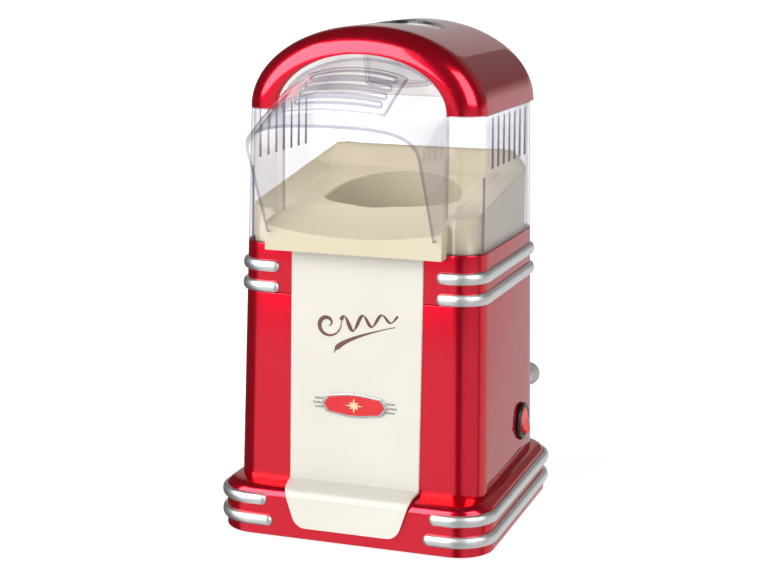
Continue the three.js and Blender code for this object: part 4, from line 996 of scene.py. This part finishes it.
def make_flourish():
    """Brown pen strokes in place of lettering: a spiral that runs into a dying wave, over a long swash."""
    t = np.linspace(0, 1, 160)
    turn = -2.4 * np.pi * (1 - t)
    radius = 1.2 + 7.2 * t
    spiral = np.stack([-17 + radius * np.cos(turn + 0.3), 126 + radius * np.sin(turn + 0.3)], -1)
    stroke("panel_flourish_curl", spiral + [0, 3.5], 0.6 + 1.9 * np.sin(np.pi * t) ** 2, BROWN)
    t = np.linspace(0, 1, 200)
    x = -9 + 34.5 * t
    wave = np.stack([x, 126 + 6.5 * t + (5 - 3 * t) * np.sin(6 * np.pi * t + 0.6)], -1)
    width = 0.6 + 1.9 * np.abs(np.sin(6 * np.pi * t + 0.6 + 1.2)) * (1 - 0.6 * t)
    stroke("panel_flourish_wave", wave + [0, 3.5], width, BROWN)
    t = np.linspace(0, 1, 120)
    swash = np.stack([-13 + 37 * t, 109 + 18 * t ** 0.55], -1)
    stroke("panel_flourish_swash", swash + [0, 3.5], 0.5 + 2.9 * (1 - t) ** 2 * smooth(t / 0.06), BROWN)


# ---- Inside ------------------------------------------------------------------------------------
INSIDE = {
    "base_plate": BLACK, "foot_front_left": RUBBER, "foot_rear_left": RUBBER, "foot_front_right": RUBBER,
    "foot_rear_right": RUBBER, "base_screw_front_left": STEEL, "base_screw_rear_left": STEEL,
    "base_screw_front_right": STEEL, "base_screw_rear_right": STEEL, "switch_body": BLACK,
    "popping_chamber": ALUMINIUM, "heater_duct": STEEL, "heating_coil": STEEL, "mica_frame": MICA,
    "thermostat": BLACK, "thermal_fuse": BRASS, "fan_housing": HEAT_BLACK, "fan_impeller": GREY,
    "motor_can": STEEL, "motor_end_cap": BLACK, "motor_shaft": STEEL, "lower_bush": BRASS,
    "upper_bush": BRASS, "motor_bracket": STEEL, "rectifier_board": BOARD, "terminal_block": GREY,
}


def dress_inside():
    """Gives each piece that keeps its CAD shape its finish."""
    for name, finish in INSIDE.items():
        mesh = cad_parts[name].data
        mesh.materials.clear()
        mesh.materials.append(finish)


# ---- Studio ------------------------------------------------------------------------------------
def make_floor():
    """A wide plain floor, not part of the object."""
    made, shader = material("studio_floor")
    shader.inputs["Base Color"].default_value = (0.6, 0.6, 0.6, 1)
    shader.inputs["Roughness"].default_value = 0.9
    shader.inputs["Specular IOR Level"].default_value = 0.1
    shader.inputs["Emission Color"].default_value = (1, 1, 1, 1)
    shader.inputs["Emission Strength"].default_value = 0.82
    mesh = bpy.data.meshes.new("studio_floor")
    reach, level = 40.0, -0.0002
    corners = [(-reach, -reach, level), (reach, -reach, level), (reach, reach, level), (-reach, reach, level)]
    mesh.from_pydata(corners, [], [(0, 1, 2, 3)])
    mesh.materials.append(made)
    floor = bpy.data.objects.new("studio_floor", mesh)
    bpy.context.scene.collection.objects.link(floor)
    floor.visible_glossy = False


def area_light(name, azimuth, elevation, distance, size, power, colour=(1, 1, 1)):
    """A soft box at an angle round the object, facing its middle."""
    a, e = np.radians([azimuth, elevation])
    data = bpy.data.lights.new(name, "AREA")
    data.shape, data.size, data.size_y = "RECTANGLE", size[0], size[1]
    data.energy, data.color = power, colour
    lamp = bpy.data.objects.new(name, data)
    target = Vector((0, 0, 0.16))
    lamp.location = target + distance * Vector((np.sin(a) * np.cos(e), -np.cos(a) * np.cos(e), np.sin(e)))
    lamp.rotation_euler = (target - lamp.location).to_track_quat("-Z", "Y").to_euler()
    bpy.context.scene.collection.objects.link(lamp)
    return lamp


CARDS = [  # azimuth from, to; elevation from, to; softness in degrees; strength
    (-64, -8, 4, 48, 1.8, 5.6),
    (46, 84, 10, 52, 1.8, 4.0),
    (-60, 1, -90, -3, 6, 0.72),
    (26, 96, -90, 2, 8, 0.56),
    (104, 200, -90, 5, 4, 0.7),
    (-200, -146, -90, 30, 8, 0.5),
    (120, 200, 5, 44, 12, 0.2),
]


def make_world():
    """A studio painted on the sky: soft cards, each a window in azimuth times a window in elevation.
    Matt surfaces get 36% less of it, and the camera itself sees plain white."""
    world = bpy.data.worlds.new("studio")
    bpy.context.scene.world = world
    world.use_nodes = True
    tree = world.node_tree
    tree.nodes.clear()

    def sky(kind, *inputs, **values):
        n = tree.nodes.new("ShaderNode" + kind)
        for key, value in values.items():
            setattr(n, key, value)
        for socket, value in zip(n.inputs, inputs):
            if isinstance(value, bpy.types.NodeSocket):
                tree.links.new(value, socket)
            elif value is not None:
                socket.default_value = value
        return n.outputs[0]

    def step(value, start, end):
        return sky("MapRange", value, start, end, 0.0, 1.0, interpolation_type="SMOOTHSTEP")

    def times(first, second):
        return sky("Math", first, second, operation="MULTIPLY")

    split = tree.nodes.new("ShaderNodeSeparateXYZ")
    tree.links.new(tree.nodes.new("ShaderNodeTexCoord").outputs["Generated"], split.inputs[0])
    x, y, z = split.outputs
    azimuth = times(sky("Math", x, times(y, -1.0), operation="ARCTAN2"), 180 / np.pi)
    elevation = times(sky("Math", z, operation="ARCSINE"), 180 / np.pi)
    total = 0.05
    for a0, a1, e0, e1, soft, strength in CARDS:
        card = times(step(azimuth, a0 - soft, a0 + soft), step(azimuth, a1 + soft, a1 - soft))
        rising, falling = step(elevation, e0 - soft, e0 + soft), step(elevation, e1 + soft, e1 - soft)
        card = times(card, times(rising, falling))
        total = sky("Math", times(card, strength), total, operation="ADD")
    path = tree.nodes.new("ShaderNodeLightPath")
    seen = path.outputs["Is Camera Ray"]
    total = times(total, sky("Math", 1.0, times(path.outputs["Is Diffuse Ray"], 0.36), operation="SUBTRACT"))
    over_white = sky("Math", total, 1.0, operation="SUBTRACT")
    unseen = sky("Math", 1.0, seen, operation="SUBTRACT")
    strength = sky("Math", over_white, unseen, 1.0, operation="MULTIPLY_ADD")
    back = tree.nodes.new("ShaderNodeBackground")
    back.inputs["Color"].default_value = (1, 1, 1, 1)
    tree.links.new(strength, back.inputs["Strength"])
    tree.links.new(back.outputs[0], tree.nodes.new("ShaderNodeOutputWorld").inputs["Surface"])


CAMERA_TURN, CAMERA_PITCH, CAMERA_ROLL = np.radians([18.6585, 11.5083, 0.5719])
CAMERA_PLACE = (0.3229, -0.9687, 0.3462)  # metres from the body's middle
CAMERA_LENS = 79.61
HOOD_LAMPS = [("lining_light", 0.236, np.pi, 0.045), ("tray_light", 0.246, 0.0, 0.022)]


def camera_axes():
    """Right, up and back: the camera turned round Z, pitched down, then rolled about its own view."""
    c, s = np.cos(CAMERA_TURN), np.sin(CAMERA_TURN)
    back = Vector((s * np.cos(CAMERA_PITCH), -c * np.cos(CAMERA_PITCH), np.sin(CAMERA_PITCH)))
    level = Vector((c, s, 0))
    over = back.cross(level)
    right = np.cos(CAMERA_ROLL) * level + np.sin(CAMERA_ROLL) * over
    return right, back.cross(right), back


def make_studio():
    """The sky, the floor, one soft box, two small lamps inside the hood, and the camera."""
    make_world()
    make_floor()
    area_light("fill_softbox", -20, 42, 2.0, (1.2, 0.8), 0.9)
    for name, height, turn, power in HOOD_LAMPS:
        lamp = area_light(name, 0, 0, 1.0, (0.11, 0.09), power)
        lamp.location, lamp.rotation_euler = (0, BODY_MIDDLE / 1000, height), (turn, 0, 0)
        lamp.visible_camera = lamp.visible_glossy = False
    data = bpy.data.cameras.new("camera")
    data.lens, data.sensor_width = CAMERA_LENS, 36.0
    camera = bpy.data.objects.new("camera", data)
    turn = Matrix(camera_axes()).transposed().to_4x4()
    place_of = Vector(CAMERA_PLACE) + Vector((0, BODY_MIDDLE / 1000, 0))
    camera.matrix_world = Matrix.Translation(place_of) @ turn
    data.clip_start, data.clip_end = 0.05, 100
    bpy.context.scene.collection.objects.link(camera)
    bpy.context.scene.camera = camera
    bpy.context.scene.view_settings.view_transform = "Standard"


make_base_skirt()
make_trims()
make_apron()
make_body_shell()
make_body_collar()
make_front_panel()
make_cord_fittings()
make_switch()
make_tray()
make_hood()
make_visor()
make_roof()
make_cup()
make_badge()
make_flourish()
dress_inside()
make_studio()
